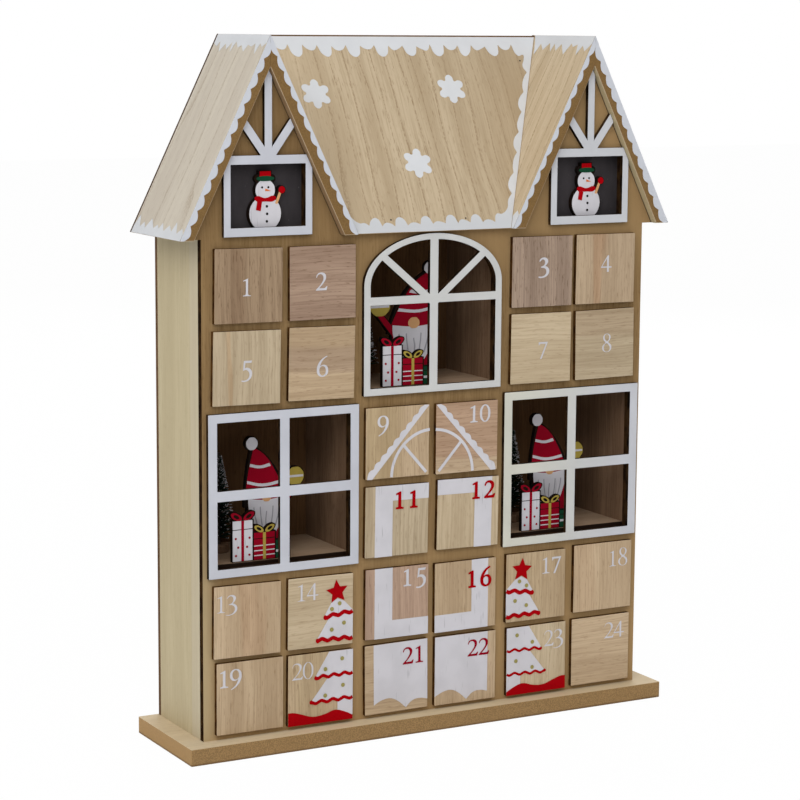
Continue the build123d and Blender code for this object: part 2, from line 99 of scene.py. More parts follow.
class CalendarColours(PropertyGroup):
    """Colours of the woods and paints"""

    stain: colour("Stain", "Brown stain of the front panel", 150, 123, 86)
    stain_dark: colour("Stain shade", "Dark streaks of the stained front", 122, 96, 63)
    veneer: colour("Veneer", "Pale veneer of the side walls and the base", 200, 186, 152)
    veneer_dark: colour("Veneer streaks", "Streaks of the pale veneer", 186, 171, 137)
    roof: colour("Roof", "Veneer of the roof", 192, 174, 146)
    roof_dark: colour("Roof streaks", "Darker bands of the roof veneer", 166, 146, 117)
    pale_roof: colour("Pale roof", "Bleached veneer of the left slope", 208, 199, 183)
    pale_roof_dark: colour("Pale roof streaks", "Streaks of the bleached veneer", 191, 180, 165)
    base_top: colour("Base top", "Veneer on top of the base", 211, 192, 160)
    base_top_dark: colour("Base top streaks", "Streaks of the veneer on the base", 196, 176, 143)
    gable_edge: colour("Gable edge", "Cut front edges of the gable roofs", 119, 92, 55)
    eave: colour("Eave", "Bare wood under the eaves", 150, 123, 92)
    # Painted light: a lighter copy of the eave wood for the right gable, standing in for light bounced from
    # the floor
    pale_eave: colour("Pale eave", "Lighter wood under the right eaves", 186, 171, 136)
    inner_roof: colour("Inner roof", "Lighter veneer of the slopes beside the main roof", 206, 188, 159)
    inner_roof_dark: colour("Inner roof streaks", "Streaks of the lighter roof veneer", 184, 163, 132)
    fibreboard: colour("Fibreboard", "Cut edges of the thick boards", 145, 116, 77)
    # Painted light and shade of the rooms: the inner boards, back and shelves are one bare wood, darkened on
    # the uprights and more on the back as painted shade, and paler on the floors as painted light; the trays
    # and cut-outs take the inner tone for their dark streaks
    inner: colour("Inner boards", "Wood inside the rooms", 138, 111, 88)
    inner_dark: colour("Inner streaks", "Streaks of the wood inside the rooms", 98, 75, 56)
    back: colour("Back board", "Wood of the back, seen through the windows", 110, 81, 53)
    back_dark: colour("Back streaks", "Streaks of the back board", 82, 58, 38)
    shelf: colour("Shelves", "Wood of the floors and shelves", 167, 143, 119)
    shelf_dark: colour("Shelf streaks", "Streaks of the floors and shelves", 146, 121, 98)
    tray: colour("Drawer trays", "Thin boards of the drawer trays", 208, 187, 152)
    scorch: colour("Scorch", "Laser-burnt edges", 30, 19, 12)
    scorch_light: colour("Light scorch", "Less burnt parts of the cut edges", 88, 63, 38)
    rim: colour("Drawer rims", "Burnt edges of the drawer faces", 48, 27, 8)
    rim_light: colour("Light drawer rims", "Less burnt edges of the drawer faces", 84, 56, 24)
    white: colour("White", "White paint of numbers and figures", 202, 200, 205)
    frame: colour("Frames", "White paint of the window frames", 199, 201, 209)
    warm_frame: colour("Warm frame", "Yellowed paint of the right window", 209, 208, 196)
    red: colour("Red", "Red paint", 160, 2, 12)
    grey: colour("Grey", "Grey strands of the beards", 150, 150, 156)
    crimson: colour("Crimson", "Red of the figures and boxes", 142, 8, 32)
    gold: colour("Gold", "Gold paint", 168, 148, 66)
    olive: colour("Olive", "Dull gold of the dots on the drawer faces", 152, 143, 84)
    green: colour("Green", "Green paint", 20, 66, 44)
    black: colour("Black", "Black paint", 20, 17, 16)
    skin: colour("Tan", "Tan paint of the noses", 204, 156, 108)
    orange: colour("Orange", "Orange paint of the carrot noses", 212, 108, 36)
    nail: colour("Nails", "Dull steel of the nail heads", 70, 62, 54)
    nail_rust: colour("Nail rust", "Rusty spots of the nail heads", 40, 30, 24)
    backing: colour("Backing", "Charcoal board behind the attic windows", 56, 52, 54)
    snow: colour("Snow", "Painted snow on the roofs", 213, 215, 218)
    # Painted shade: a greyer copy of the snow for the upright front edges
    snow_edge: colour("Snow edge", "Snow on the upright front edges", 194, 197, 204)
    bristle: colour("Bristle", "Green strands of the trees", 18, 34, 23)


def sizes():
    return bpy.context.scene.calendar_sizes


def tint(name, share=1.0):
    """RGBA of a named colour setting, made lighter or darker by a share."""
    tone = getattr(bpy.context.scene.calendar_colours, name)
    return (*(min(1.0, value * share) for value in tone), 1.0)


# Materials


# Depth of the relief of bare grain and of a painted surface
GRAIN_DEPTH, COAT_DEPTH = 0.3 * MM, 0.2 * MM
# Tint of the pores and year rings against the dark tone of their wood
PORE_TINT = (0.6, 0.5, 0.38, 1.0)
# How far the grain sways to either side
GRAIN_SWAY = 5 * MM
# Burnt strip along the rear edge of the gable roofs, left free of snow
BARE_REAR = 2.4 * MM
# Front edges of the shelves, sooty from the laser and darkened further as painted shade behind the front
# panel, bleached front edges of the walls, and foot of the main roof's snow, greyed as painted shade
SOOT_AND_SHADE, BLEACHED, SNOW_FOOT_SHADE = (-21.2 * MM, -19.6 * MM), (-12.5 * MM, -10.5 * MM), (306 * MM, 325 * MM)
# Painted light and shade up the panel, as the roofs shade its upper part: lighter towards the foot, darker
# under the roofs; limits and shares of the change, and the tone with its lightness
PAINTED_SHADE_AND_LIGHT_LEVELS = (
    ((0.03, 0.2, 0.6, 0.0), "stain", 1.45),
    ((0.25, 0.34, 0.0, 0.6), "stain_dark", 0.9),
)
# Patches of painted light where the panel catches more light: lighter stain towards the right under the
# roofs, in the right gable and low on the left edge; limits and shares up and across the panel, and the tone
# with its lightness
PAINTED_LIGHT_PATCHES = (
    ((0.255, 0.3), (-0.12, 0.1, 0.0, 0.75), "stain", 1.05),
    ((0.315, 0.35), (0.1, 0.14, 0.0, 0.6), "stain", 1.35),
    ((0.06, 0.2, 1.0, 0.0), (-0.149, -0.138, 0.55, 0.0), "veneer_dark", 1.0),
)


class Finish:
    """Node graph of one material, built on Object coordinates."""

    def __init__(self, name, roughness, gloss=0.12):
        self.material = bpy.data.materials.new(name)
        self.material.use_nodes = True
        self.tree = self.material.node_tree
        self.shader = self.tree.nodes["Principled BSDF"]
        self.shader.inputs["Roughness"].default_value = roughness
        self.shader.inputs["Specular IOR Level"].default_value = gloss
        self.place = self.add("ShaderNodeTexCoord").outputs["Object"]

    def add(self, kind, inputs=None, **settings):
        """New node with its settings, links and socket values. A colour may be given by its name."""
        node = self.tree.nodes.new(kind)
        for key, value in settings.items():
            setattr(node, key, value)
        for key, value in (inputs or {}).items():
            if isinstance(value, bpy.types.NodeSocket):
                self.tree.links.new(value, node.inputs[key])
            else:
                node.inputs[key].default_value = tint(value) if isinstance(value, str) else value
        return node

    def axis(self, letter, vector=None):
        """One coordinate of a vector, or else of the place on the object."""
        return self.add("ShaderNodeSeparateXYZ", {0: vector or self.place}).outputs[letter]

    def noise(self, scale, detail=2.0, shift=0.0, vector=None):
        """Noise stretched by a scale for each axis, or by one for all three."""
        scale = scale if isinstance(scale, tuple) else (scale,) * 3
        where = {"Vector": vector or self.place, "Location": (shift,) * 3, "Scale": scale}
        stretched = self.add("ShaderNodeMapping", where).outputs[0]
        look = {"Vector": stretched, "Scale": 1.0, "Detail": detail}
        return self.add("ShaderNodeTexNoise", look).outputs["Fac"]

    def ramp(self, value, low, high, start=0.0, end=1.0):
        """Smooth step of a value between two limits."""
        limits = {"Value": value, "From Min": low, "From Max": high, "To Min": start, "To Max": end}
        return self.add("ShaderNodeMapRange", limits, interpolation_type="SMOOTHSTEP").outputs[0]

    def cloud(self, scale, detail, *limits):
        """Smooth step of a noise."""
        return self.ramp(self.noise(scale, detail), *limits)

    def mix(self, factor, first, second, blend="MIX"):
        """Blend of two colours."""
        sockets = {"Fac": factor, "Color1": first, "Color2": second}
        return self.add("ShaderNodeMixRGB", sockets, blend_type=blend).outputs[0]

    def math(self, operation, first, second=0.0):
        return self.add("ShaderNodeMath", {0: first, 1: second}, operation=operation).outputs[0]

    def facing(self, axis, low=0.55, high=0.85, signed=False):
        """One where the surface looks along an axis, zero where it looks across it."""
        part = self.axis(axis, self.add("ShaderNodeNewGeometry").outputs["Normal"])
        return self.ramp(part if signed else self.math("ABSOLUTE", part), low, high)

    def bump(self, height, strength, distance):
        sockets = {"Height": height, "Strength": strength, "Distance": distance}
        bumped = self.add("ShaderNodeBump", sockets).outputs[0]
        self.tree.links.new(bumped, self.shader.inputs["Normal"])

    def colour(self, value):
        self.tree.links.new(value, self.shader.inputs["Base Color"])
        return self.material


def grain_scale(across, along_rate, across_rate):
    """Scale that stretches a noise along the grain."""
    return tuple(across_rate if axis in across else along_rate for axis in "XYZ")


def wood(finish, light, dark, across, relief=0.0, depth=GRAIN_DEPTH,
         bands=0.5, streaks=0.6, dashes=0.4, shift=0.0, rings=None):
    """Colour of one wood with its bands, fine streaks, dark pores and year rings, and its relief."""
    light, dark = (tint(tone) if isinstance(tone, str) else tone for tone in (light, dark))
    sway = {0: (GRAIN_SWAY,) * 3, "Scale": finish.noise(18, 1.0, shift)}
    sway = finish.add("ShaderNodeVectorMath", sway, operation="SCALE").outputs[0]
    place = {0: finish.place, 1: sway}
    place = finish.add("ShaderNodeVectorMath", place, operation="ADD").outputs[0]
    band = finish.noise(grain_scale(across, 4, 90), 3.0, shift, place)
    streak = finish.noise(grain_scale(across, 30, 900), 3.0, shift, place)
    pore = finish.noise(grain_scale(across, 170, 1400), 2.0, shift, place)
    deep = tuple(value * share for value, share in zip(dark, PORE_TINT))
    tone = finish.mix(finish.ramp(band, 0.36, 0.66, 0.0, bands), light, dark)
    tone = finish.mix(finish.ramp(streak, 0.38, 0.72, 0.0, streaks), tone, dark)
    tone = finish.mix(finish.ramp(pore, 0.58, 0.72, 0.0, dashes), tone, deep)
    if rings:
        rate, strength = rings
        wander = finish.noise(grain_scale(across, 5, 40), 1.0, shift + 5, place)
        ring = finish.math("MULTIPLY", finish.axis(across, place), rate)
        ring = finish.math("ADD", ring, finish.math("MULTIPLY", wander, 2.0))
        line = finish.ramp(finish.math("FRACT", ring), 0.0, 0.15, strength, 0.0)
        speck = finish.noise(grain_scale(across, 560, 1300), 1.0, shift)
        line = finish.math("MULTIPLY", line, finish.ramp(speck, 0.42, 0.56, 0.25, 1.0))
        tone = finish.mix(line, tone, deep)
    if relief:
        height = finish.math("SUBTRACT", streak, finish.ramp(pore, 0.6, 0.75))
        finish.bump(height, relief, depth)
    return tone


def fibreboard(finish, base, contrast):
    """Fine felted grain of a cut fibreboard edge."""
    mottle = finish.cloud(1500, 3.0, 0.36, 0.64)
    felt = finish.mix(mottle, tint(base, 1 - contrast), tint(base, 1 + contrast))
    return finish.mix(finish.cloud(60, 2.0, 0.3, 0.7, 0.0, 0.3), felt, base)


def board_wood(name, light, dark, across, **look):
    """Plain board of one wood on all its faces."""
    finish = Finish(name, 0.62, 0.05)
    return finish.colour(wood(finish, light, dark, across, 0.18, **look))


def stained_wood(name):
    """Brown-stained sheet with painted light towards its foot and right and painted shade under the roofs,
    and burnt edges.
    """
    finish = Finish(name, 0.6, 0.0)
    tone = wood(finish, "stain", "stain_dark", "X", 0.18, dashes=0.35)
    side, height = finish.axis("X"), finish.axis("Z")
    # Painted light towards the foot and painted shade under the roofs
    for limits, stain, share in PAINTED_SHADE_AND_LIGHT_LEVELS:
        tone = finish.mix(finish.ramp(height, *limits), tone, tint(stain, share))
    # Patches of painted light towards the right and low on the left edge
    for upwards, across, stain, share in PAINTED_LIGHT_PATCHES:
        patch = finish.math("MULTIPLY", finish.ramp(height, *upwards), finish.ramp(side, *across))
        tone = finish.mix(patch, tone, tint(stain, share))
    burn = finish.cloud(140, 3.0, 0.35, 0.65)
    rim = finish.mix(burn, tint("scorch", 1.3), tint("scorch_light", 0.5))
    return finish.colour(finish.mix(finish.facing("Y"), rim, tone))


def back_wood(name):
    """Back board: pale plywood outside, and inside the rooms a darker wood as painted shade."""
    finish = Finish(name, 0.62, 0.05)
    inside = wood(finish, "back", "back_dark", "X", 0.18, dashes=0.5)
    outside = wood(finish, "base_top", "base_top_dark", "X", bands=0.8, dashes=0.35, rings=(60, 0.4))
    return finish.colour(finish.mix(finish.facing("Y", signed=True), inside, outside))


def shelf_wood(name):
    """Board lying flat, its front edge sooty from the laser and darkened further as painted shade behind the
    front panel.
    """
    finish = Finish(name, 0.62, 0.05)
    tone = wood(finish, "shelf", "shelf_dark", "YZ", 0.18, dashes=0.3)
    # Laser soot and painted shade: the strip of the top just behind the front panel turns to scorch
    soot_and_shade = finish.ramp(finish.axis("Y"), *SOOT_AND_SHADE, 1.0, 0.0)
    return finish.colour(finish.mix(soot_and_shade, tone, "scorch"))


def wall_wood(name):
    """Side wall: pale veneer outside, bleached at its front edge, and bare wood inside."""
    finish = Finish(name, 0.6)
    tone = wood(finish, "veneer", "veneer_dark", "Y", 0.15, bands=0.6, dashes=0.2)
    bare = wood(finish, "inner", "inner_dark", "Y")
    normal = finish.add("ShaderNodeNewGeometry").outputs["Normal"]
    outside = finish.math("MULTIPLY", finish.axis("X"), finish.axis("X", normal))
    bleached = finish.ramp(finish.axis("Y"), *BLEACHED, 0.3, 0.0)
    tone = finish.mix(bleached, tone, "pale_roof")
    return finish.colour(finish.mix(finish.ramp(outside, 0.0, 0.05), bare, tone))


def roof_wood(name, kind, across, below="eave", fade=0.0, **look):
    """Veneered roof board: fibreboard on its front and back edges, bare wood below."""
    finish = Finish(name, 0.6)
    tone = wood(finish, kind, kind + "_dark", across, 0.2, **look)
    side, depth = finish.axis("X"), finish.axis("Y")
    if fade:
        tone = finish.mix(finish.ramp(side, -0.1, -0.02, fade, 0.0), tone, tint(kind, 1.12))
        tone = finish.mix(finish.ramp(side, 0.0, 0.1, 0.0, fade), tone, tint(kind + "_dark", 0.96))
    else:
        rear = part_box("left_roof_outer")[1].y - BARE_REAR
        burnt = finish.ramp(depth, rear, rear + 0.3 * MM)
        tone = finish.mix(burnt, tone, tint("scorch_light", 0.6))
    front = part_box("front_panel")[0].y
    # Dark joint line with a painted contact shadow where the roof meets the front panel
    joint_and_shadow = finish.ramp(depth, front - 1.3 * MM, front - 0.6 * MM, 0.0, 0.9)
    bare = finish.mix(joint_and_shadow, below, "scorch")
    felt = fibreboard(finish, "gable_edge", 0.16)
    edge = finish.mix(finish.facing("Z", -0.1, -0.25, signed=True), felt, bare)
    # Painted highlight: the lower arrises of the front and back edges take the lighter roof veneer
    arris_highlight = finish.math("MULTIPLY", finish.facing("Y", 0.3, 0.4), finish.facing("Y", 0.96, 0.93))
    arris_highlight = finish.math("MULTIPLY", arris_highlight, finish.facing("Z", -0.02, -0.06, signed=True))
    edge = finish.mix(arris_highlight, edge, "roof")
    return finish.colour(finish.mix(finish.facing("Z", 0.1, 0.25, signed=True), edge, tone))


def base_wood(name):
    """Fibreboard with a veneered top, darkened towards its right end as painted shade, side edges lightened
    as painted light, and painted shade along its lower rim.
    """
    finish = Finish(name, 0.62)
    tone = wood(finish, "base_top", "base_top_dark", "Y", 0.15, bands=0.6, dashes=0.3)
    # Painted shade: the top darkens towards its right end
    tone = finish.mix(finish.ramp(finish.axis("X"), -0.06, 0.1, 0.0, 0.7), tone, "base_top_dark")
    felt = fibreboard(finish, "fibreboard", 0.23)
    # Painted light: the side edges are a lighter copy of the front's fibreboard
    pale = finish.mix(0.6, felt, tint("fibreboard", 1.8))
    edge = finish.mix(finish.facing("X"), felt, pale)
    # Painted shade along the lower rim, where the edges turn down to the floor
    lower_rim_shade = finish.ramp(finish.axis("Z"), 0.7 * MM, 1.6 * MM, 0.55, 0.0)
    edge = finish.mix(lower_rim_shade, edge, "scorch_light")
    return finish.colour(finish.mix(finish.facing("Z", 0.4, 0.8, signed=True), edge, tone))


def frame_paint(name, node, left, right):
    """White front, yellowed by a share at its two ends, on a sheet with scorched cut edges."""
    finish = Finish(name, 0.5, 0.05)
    low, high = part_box(node)
    yellow = finish.ramp(finish.axis("X"), low.x, high.x, left, right)
    coat = finish.mix(yellow, "frame", "warm_frame")
    front = finish.mix(finish.cloud(35, 3.0, 0.3, 0.7, 0.07, 0.14), coat, (0.0, 0.0, 0.0, 1.0))
    burn = finish.cloud(120, 2.0, 0.35, 0.65)
    rim = finish.mix(burn, tint("scorch", 0.4), tint("scorch_light", 0.4))
    finish.bump(finish.noise(500), 0.08, COAT_DEPTH)
    return finish.colour(finish.mix(finish.facing("Y"), rim, front))


def paint(name, ink, flecks, gloss):
    """Coat of paint through which a little of the grain shows."""
    finish = Finish(name, 0.5, gloss)
    coat = finish.mix(finish.cloud(60, 3.0, 0.35, 0.7), ink, tint(ink, 0.92))
    finish.bump(finish.noise(grain_scale("X", 9, 420), 3.0), 0.1, COAT_DEPTH)
    pore = finish.cloud(grain_scale("X", 70, 1100), 1.0, 0.68, 0.76, 0.0, flecks)
    return finish.colour(finish.mix(pore, coat, tint(ink, 0.45)))


def snow_coat(name):
    """Painted snow, greyer as painted shade on the upright edges and at the foot of the main roof."""
    finish = Finish(name, 0.5)
    coat = finish.mix(finish.cloud(60, 3.0, 0.35, 0.7), "snow", tint("snow", 0.94))
    # Painted shade: the snow greys towards the foot of the main roof
    foot = finish.ramp(finish.axis("Z"), *SNOW_FOOT_SHADE, 1.0, 0.25)
    foot = finish.math("MULTIPLY", foot, finish.facing("Y", 0.7, 0.85))
    coat = finish.mix(foot, coat, tint("snow", 0.81))
    finish.bump(finish.noise(420, 3.0), 0.12, COAT_DEPTH)
    # Painted shade: the upright front edges take the greyer snow
    return finish.colour(finish.mix(finish.facing("Y", 0.9, 0.98), coat, "snow_edge"))


def charcoal(name):
    """Dark board with a faint grain and dust."""
    finish = Finish(name, 0.7)
    grain = finish.cloud((90, 30, 40), 3.0, 0.3, 0.7)
    board = finish.mix(grain, "backing", tint("backing", 0.72))
    return finish.colour(finish.mix(finish.cloud(700, 2.0, 0.7, 0.8, 0.0, 0.2), board, "white"))


def cutout_board(name):
    """Thin plywood cut by laser: dark edges and front rim, bare back."""
    finish = Finish(name, 0.7, 0.03)
    bare = wood(finish, "tray", "inner", "X", 0.12, COAT_DEPTH)
    rim = finish.mix(finish.cloud(200, 2.0, 0.35, 0.65), "black", "scorch")
    return finish.colour(finish.mix(finish.facing("Y", signed=True), rim, bare))


def bristles(name):
    """Green strands with white, snowy tips, along their own root-to-tip attribute."""
    finish = Finish(name, 0.75, 0.03)
    along = finish.add("ShaderNodeAttribute", attribute_name="tip").outputs["Fac"]
    clump = finish.noise(420, 1.0)
    snow = finish.math("ADD", along, finish.math("MULTIPLY", clump, 1.2))
    needle = finish.mix(clump, "bristle", tint("bristle", 2.0))
    return finish.colour(finish.mix(finish.ramp(snow, 1.46, 1.56), needle, "white"))


def steel(name):
    """Dull head of a small nail."""
    finish = Finish(name, 0.45)
    finish.shader.inputs["Metallic"].default_value = 0.6
    return finish.colour(finish.mix(finish.cloud(900, 2.0, 0.4, 0.7), "nail", "nail_rust"))


def burnt_rim(name):
    """Laser-burnt edge of a drawer face."""
    finish = Finish(name, 0.7, 0.03)
    return finish.colour(finish.mix(finish.cloud(160, 3.0, 0.3, 0.7), "rim", "rim_light"))


def drawer_wood(name, tone, across, heart):
    """Bare wood of a drawer face, with a band of heartwood where there is one."""
    *tones, pores = DRAWER_TONES[tone]
    light, dark = ((*card(*values), 1.0) for values in tones)
    finish = Finish(name, 0.6)
    bare = wood(finish, light, dark, across, 0.2, dashes=pores)
    if heart:
        middle, half, stain = heart
        waver = 4 * MM
        place = finish.cloud(grain_scale(across, 9, 60), 2.0, 0.25, 0.75, -waver, waver)
        place = finish.math("ADD", finish.axis(across), place)
        away = finish.math("ABSOLUTE", finish.math("SUBTRACT", place, middle))
        band = finish.ramp(away, half * 0.55, half * 1.25, 1.0, 0.0)
        bare = finish.mix(band, bare, (*stain, 1.0), "MULTIPLY")
    return finish.colour(bare)


# Light and dark colour of each wood and the depth of its pores
DRAWER_TONES = {
    "brown": ((158, 135, 109), (120, 97, 75), 0.55),
    "umber": ((167, 142, 122), (128, 103, 86), 0.5),
    "ash": ((164, 143, 125), (123, 103, 88), 0.7),
    "rose": ((180, 153, 132), (146, 119, 101), 0.4),
    "copper": ((181, 152, 127), (146, 117, 92), 0.45),
    "fawn": ((182, 160, 133), (149, 127, 101), 0.4),
    "tan": ((190, 167, 137), (155, 131, 102), 0.4),
    "honey": ((196, 173, 143), (162, 138, 109), 0.35),
    "beige": ((188, 171, 144), (153, 135, 108), 0.35),
    "cream": ((198, 180, 151), (164, 144, 115), 0.3),
}

# Band of other wood in a face: its middle and half width as shares across the grain, and its tint
HEARTS = {
    1: (0.3, 0.12, (0.84, 0.8, 0.78)),
    4: (0.36, 0.11, (0.93, 0.83, 0.77)),
    5: (0.18, 0.022, (0.96, 0.87, 0.79)),
    6: (0.52, 0.2, (0.82, 0.8, 0.84)),
    8: (0.8, 0.2, (0.9, 0.86, 0.84)),
    9: (0.25, 0.3, (0.94, 0.95, 0.88)),
    10: (0.08, 0.14, (1.15, 1.28, 1.28)),
    13: (0.55, 0.16, (0.92, 0.86, 0.83)),
    17: (0.5, 0.8, (0.93, 0.93, 0.9)),
    18: (0.2, 0.15, (0.93, 0.9, 0.88)),
    20: (0.3, 0.3, (0.95, 0.97, 0.93)),
}

# Flecks of grain that show through each paint, and its gloss
PAINTS = {
    "white": (0.5, 0.12), "red": (0.2, 0.02), "crimson": (0.2, 0.02), "grey": (0.0, 0.12),
    "gold": (0.35, 0.12), "olive": (0.35, 0.12), "green": (0.2, 0.03), "black": (0.0, 0.03),
    "skin": (0.0, 0.12), "orange": (0.0, 0.12),
}

# Share by which each window frame has yellowed at its left and right end
FRAMES = {
    "left_window_frame": (0.0, 0.0), "right_window_frame": (1.0, 0.1), "arched_window_frame": (0.5, 0.5),
    "left_attic_frame": (0.0, 0.0), "right_attic_frame": (0.2, 0.2),
}

# Maker of each finish and what it is told
MAKERS = {
    "stained_panel": stained_wood,
    "wall_veneer": wall_wood,
    "pale_gable_veneer": partial(
        roof_wood, kind="pale_roof", across="Y", bands=0.6, streaks=0.25, dashes=0.3, shift=0.3,
        rings=(62, 0.55),
    ),
    "gable_veneer": partial(
        roof_wood, kind="roof", across="Y", below="pale_eave", bands=0.6, dashes=0.35, shift=0.9,
        rings=(90, 0.5),
    ),
    "inner_gable_veneer": partial(
        roof_wood, kind="inner_roof", across="Y", streaks=0.45, dashes=0.35, shift=2.3, rings=(105, 0.7)
    ),
    "main_veneer": partial(
        roof_wood, kind="roof", across="X", fade=0.55, bands=0.6, dashes=0.5, shift=1.7,
        rings=(100, 0.75),
    ),
    "base_veneer": base_wood,
    "inner_upright": partial(board_wood, light="inner", dark="inner_dark", across="XY", dashes=0.5),
    "back_board": back_wood,
    "inner_shelf": shelf_wood,
    "drawer_tray": partial(board_wood, light="tray", dark="inner", across="XZ", bands=0.4, dashes=0.2),
    "burnt_edge": burnt_rim,
    "dark_backing": charcoal,
    "cutout_board": cutout_board,
    "bristles": bristles,
    "nail_steel": steel,
    "snow_paint": snow_coat,
    **{f"{ink}_paint": partial(paint, ink=ink, flecks=flecks, gloss=gloss)
       for ink, (flecks, gloss) in PAINTS.items()},
    **{node: partial(frame_paint, node=node, left=left, right=right)
       for node, (left, right) in FRAMES.items()},
}


def finish_named(name, maker=None, *values):
    """Material of that name, made when it is first asked for."""
    found = bpy.data.materials.get("finish_" + name)
    return found or (maker or MAKERS[name])("finish_" + name, *values)


# Modelling


# Points nearer than this are one point
WELD = 1e-6


def only(*objects):
    """Selects these objects alone, the first one active."""
    bpy.ops.object.select_all(action="DESELECT")
    for obj in objects:
        obj.select_set(True)
    bpy.context.view_layer.objects.active = objects[0]


def primitive(kind, finish, scale=(1, 1, 1), **settings):
    """New primitive mesh from the Add menu, with its place and scale applied."""
    bpy.ops.object.select_all(action="DESELECT")
    getattr(bpy.ops.mesh, f"primitive_{kind}_add")(**settings)
    made = bpy.context.object
    made.scale = scale
    bpy.ops.object.transform_apply(location=True, rotation=True, scale=True)
    made.data.materials.append(finish)
    return made


def apply_modifier(obj, kind, **settings):
    only(obj)
    modifier = obj.modifiers.new(kind.title(), kind)
    for key, value in settings.items():
        setattr(modifier, key, value)
    bpy.ops.object.modifier_apply(modifier=modifier.name)


def on_mesh(obj, *steps):
    """Runs steps of Edit Mode on all of a mesh: each an operator and its settings."""
    only(obj)
    bpy.ops.object.mode_set(mode="EDIT")
    bpy.ops.mesh.select_all(action="SELECT")
    for step, settings in steps:
        step(**settings)
    bpy.ops.object.mode_set(mode="OBJECT")


def clean_mesh(obj):
    """Merges doubles and turns all faces outwards."""
    on_mesh(
        obj, (bpy.ops.mesh.remove_doubles, {"threshold": WELD}),
        (bpy.ops.mesh.normals_make_consistent, {"inside": False}),
    )


def join(name, pieces):
    """One object from several, under a new name."""
    only(*pieces)
    if len(pieces) > 1:
        bpy.ops.object.join()
    made = bpy.context.view_layer.objects.active
    made.name = made.data.name = name
    return made


def linked(name, data):
    """New object in the scene."""
    made = bpy.data.objects.new(name, data)
    bpy.context.collection.objects.link(made)
    return made


def copied(model, name, place):
    """Copy of a model with a mesh of its own, set in its place."""
    made = linked(name, model.data.copy())
    made.data.name = name
    made.data.transform(place)
    clean_mesh(made)
    return made


def discard(*models):
    for model in models:
        bpy.data.objects.remove(model)


def rounded_board(low, high, rounding, finish):
    """Board between two corners with slightly rounded edges."""
    low, high = Vector(low), Vector(high)
    made = primitive("cube", finish, high - low, size=1, location=(low + high) / 2)
    apply_modifier(made, "BEVEL", width=rounding, segments=2)
    return made


def laid(across, up, out, origin):
    """Matrix that lays the x, y and height of a drawing along three directions from an origin."""
    place = Matrix((across, up, out)).transposed().to_4x4()
    place.translation = origin
    return place


def swell(outline, by):
    """Outline moved outwards all round, or inwards where the distance is negative."""
    made = []
    area = sum(a[0] * b[1] - b[0] * a[1] for a, b in zip(outline, outline[1:] + outline[:1]))
    by = math.copysign(by, area * by)
    for i, (x, y, *corner) in enumerate(outline):
        before, after = outline[i - 1], outline[(i + 1) % len(outline)]
        along = Vector((after[0] - before[0], after[1] - before[1])).normalized() * by
        made.append((x + along.y, y - along.x, *corner))
    return made


def flat_shape(outlines, finish, place, level=0):
    """Painted patch: filled outlines with a coat's thickness, laid on a surface.
    A knot is (x, y) where the outline runs smoothly and (x, y, 1) at a corner."""
    coat = sizes().paint
    curve = bpy.data.curves.new("patch", "CURVE")
    curve.dimensions = "2D"
    curve.fill_mode = "BOTH"
    curve.resolution_u = 5
    curve.extrude = coat / 2
    for outline in outlines:
        spline = curve.splines.new("BEZIER")
        spline.bezier_points.add(len(outline) - 1)
        spline.use_cyclic_u = True
        for knot, (x, y, *_) in zip(spline.bezier_points, outline):
            knot.co = (x, y, 0)
        for knot, (_, _, *corner) in zip(spline.bezier_points, outline):
            knot.handle_left_type = knot.handle_right_type = "VECTOR" if corner else "AUTO"
    only(linked("patch", curve))
    bpy.ops.object.convert(target="MESH")
    made = bpy.context.object
    made.data.transform(place @ Matrix.Translation((0, 0, coat * (0.5 + level))))
    clean_mesh(made)
    made.data.materials.clear()
    made.data.materials.append(finish)
    return made


def painted(name, place, layers):
    """One coat of many patches: paint, layer and outlines of each."""
    return join(name, [
        flat_shape(outlines, finish_named(ink + "_paint"), place, level)
        for ink, level, *outlines in layers
    ])


def disc(x, y, radius_x, radius_y=None, count=8):
    """Round or oval outline."""
    radius_y = radius_y or radius_x
    turns = (math.tau * i / count for i in range(count))
    return [(x + radius_x * math.cos(t), y + radius_y * math.sin(t)) for t in turns]


def corners(points):
    """Outline with a corner at each point."""
    return [(x, y, 1) for x, y in points]


def bar(x_low, y_low, x_high, y_high):
    """Rectangle outline."""
    return corners([(x_low, y_low), (x_high, y_low), (x_high, y_high), (x_low, y_high)])


def stroke(points, width):
    """Outline of a brush stroke through points."""
    half = width / 2
    left, right = [], []
    for i, (x, y) in enumerate(points):
        before, after = points[max(i - 1, 0)], points[min(i + 1, len(points) - 1)]
        along = Vector((after[0] - before[0], after[1] - before[1])).normalized()
        end = (1,) if i in (0, len(points) - 1) else ()
        left.append((x - along.y * half, y + along.x * half, *end))
        right.append((x + along.y * half, y - along.x * half, *end))
    return left + right[::-1]


def seat(obj, body, slot, *replaced):
    """Makes a finished piece ride on its body."""
    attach(obj, body)
    if replaced:
        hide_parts(*replaced)


def dress(node, name, rounding=0.0):
    """Gives a carried-over board its finish and softens its edges."""
    obj = frame["nodes"][node]
    obj.data.materials.clear()
    obj.data.materials.append(finish_named(name))
    if rounding:
        weld = obj.modifiers.new("Weld", "WELD")
        weld.merge_threshold = WELD
        bevel = obj.modifiers.new("Edges", "BEVEL")
        bevel.width = rounding
        bevel.segments = 2
        bevel.limit_method = "ANGLE"
        bevel.angle_limit = math.radians(40)


# Numbers: outlines in hundredths of the height of the figure one, a corner where a third value stands


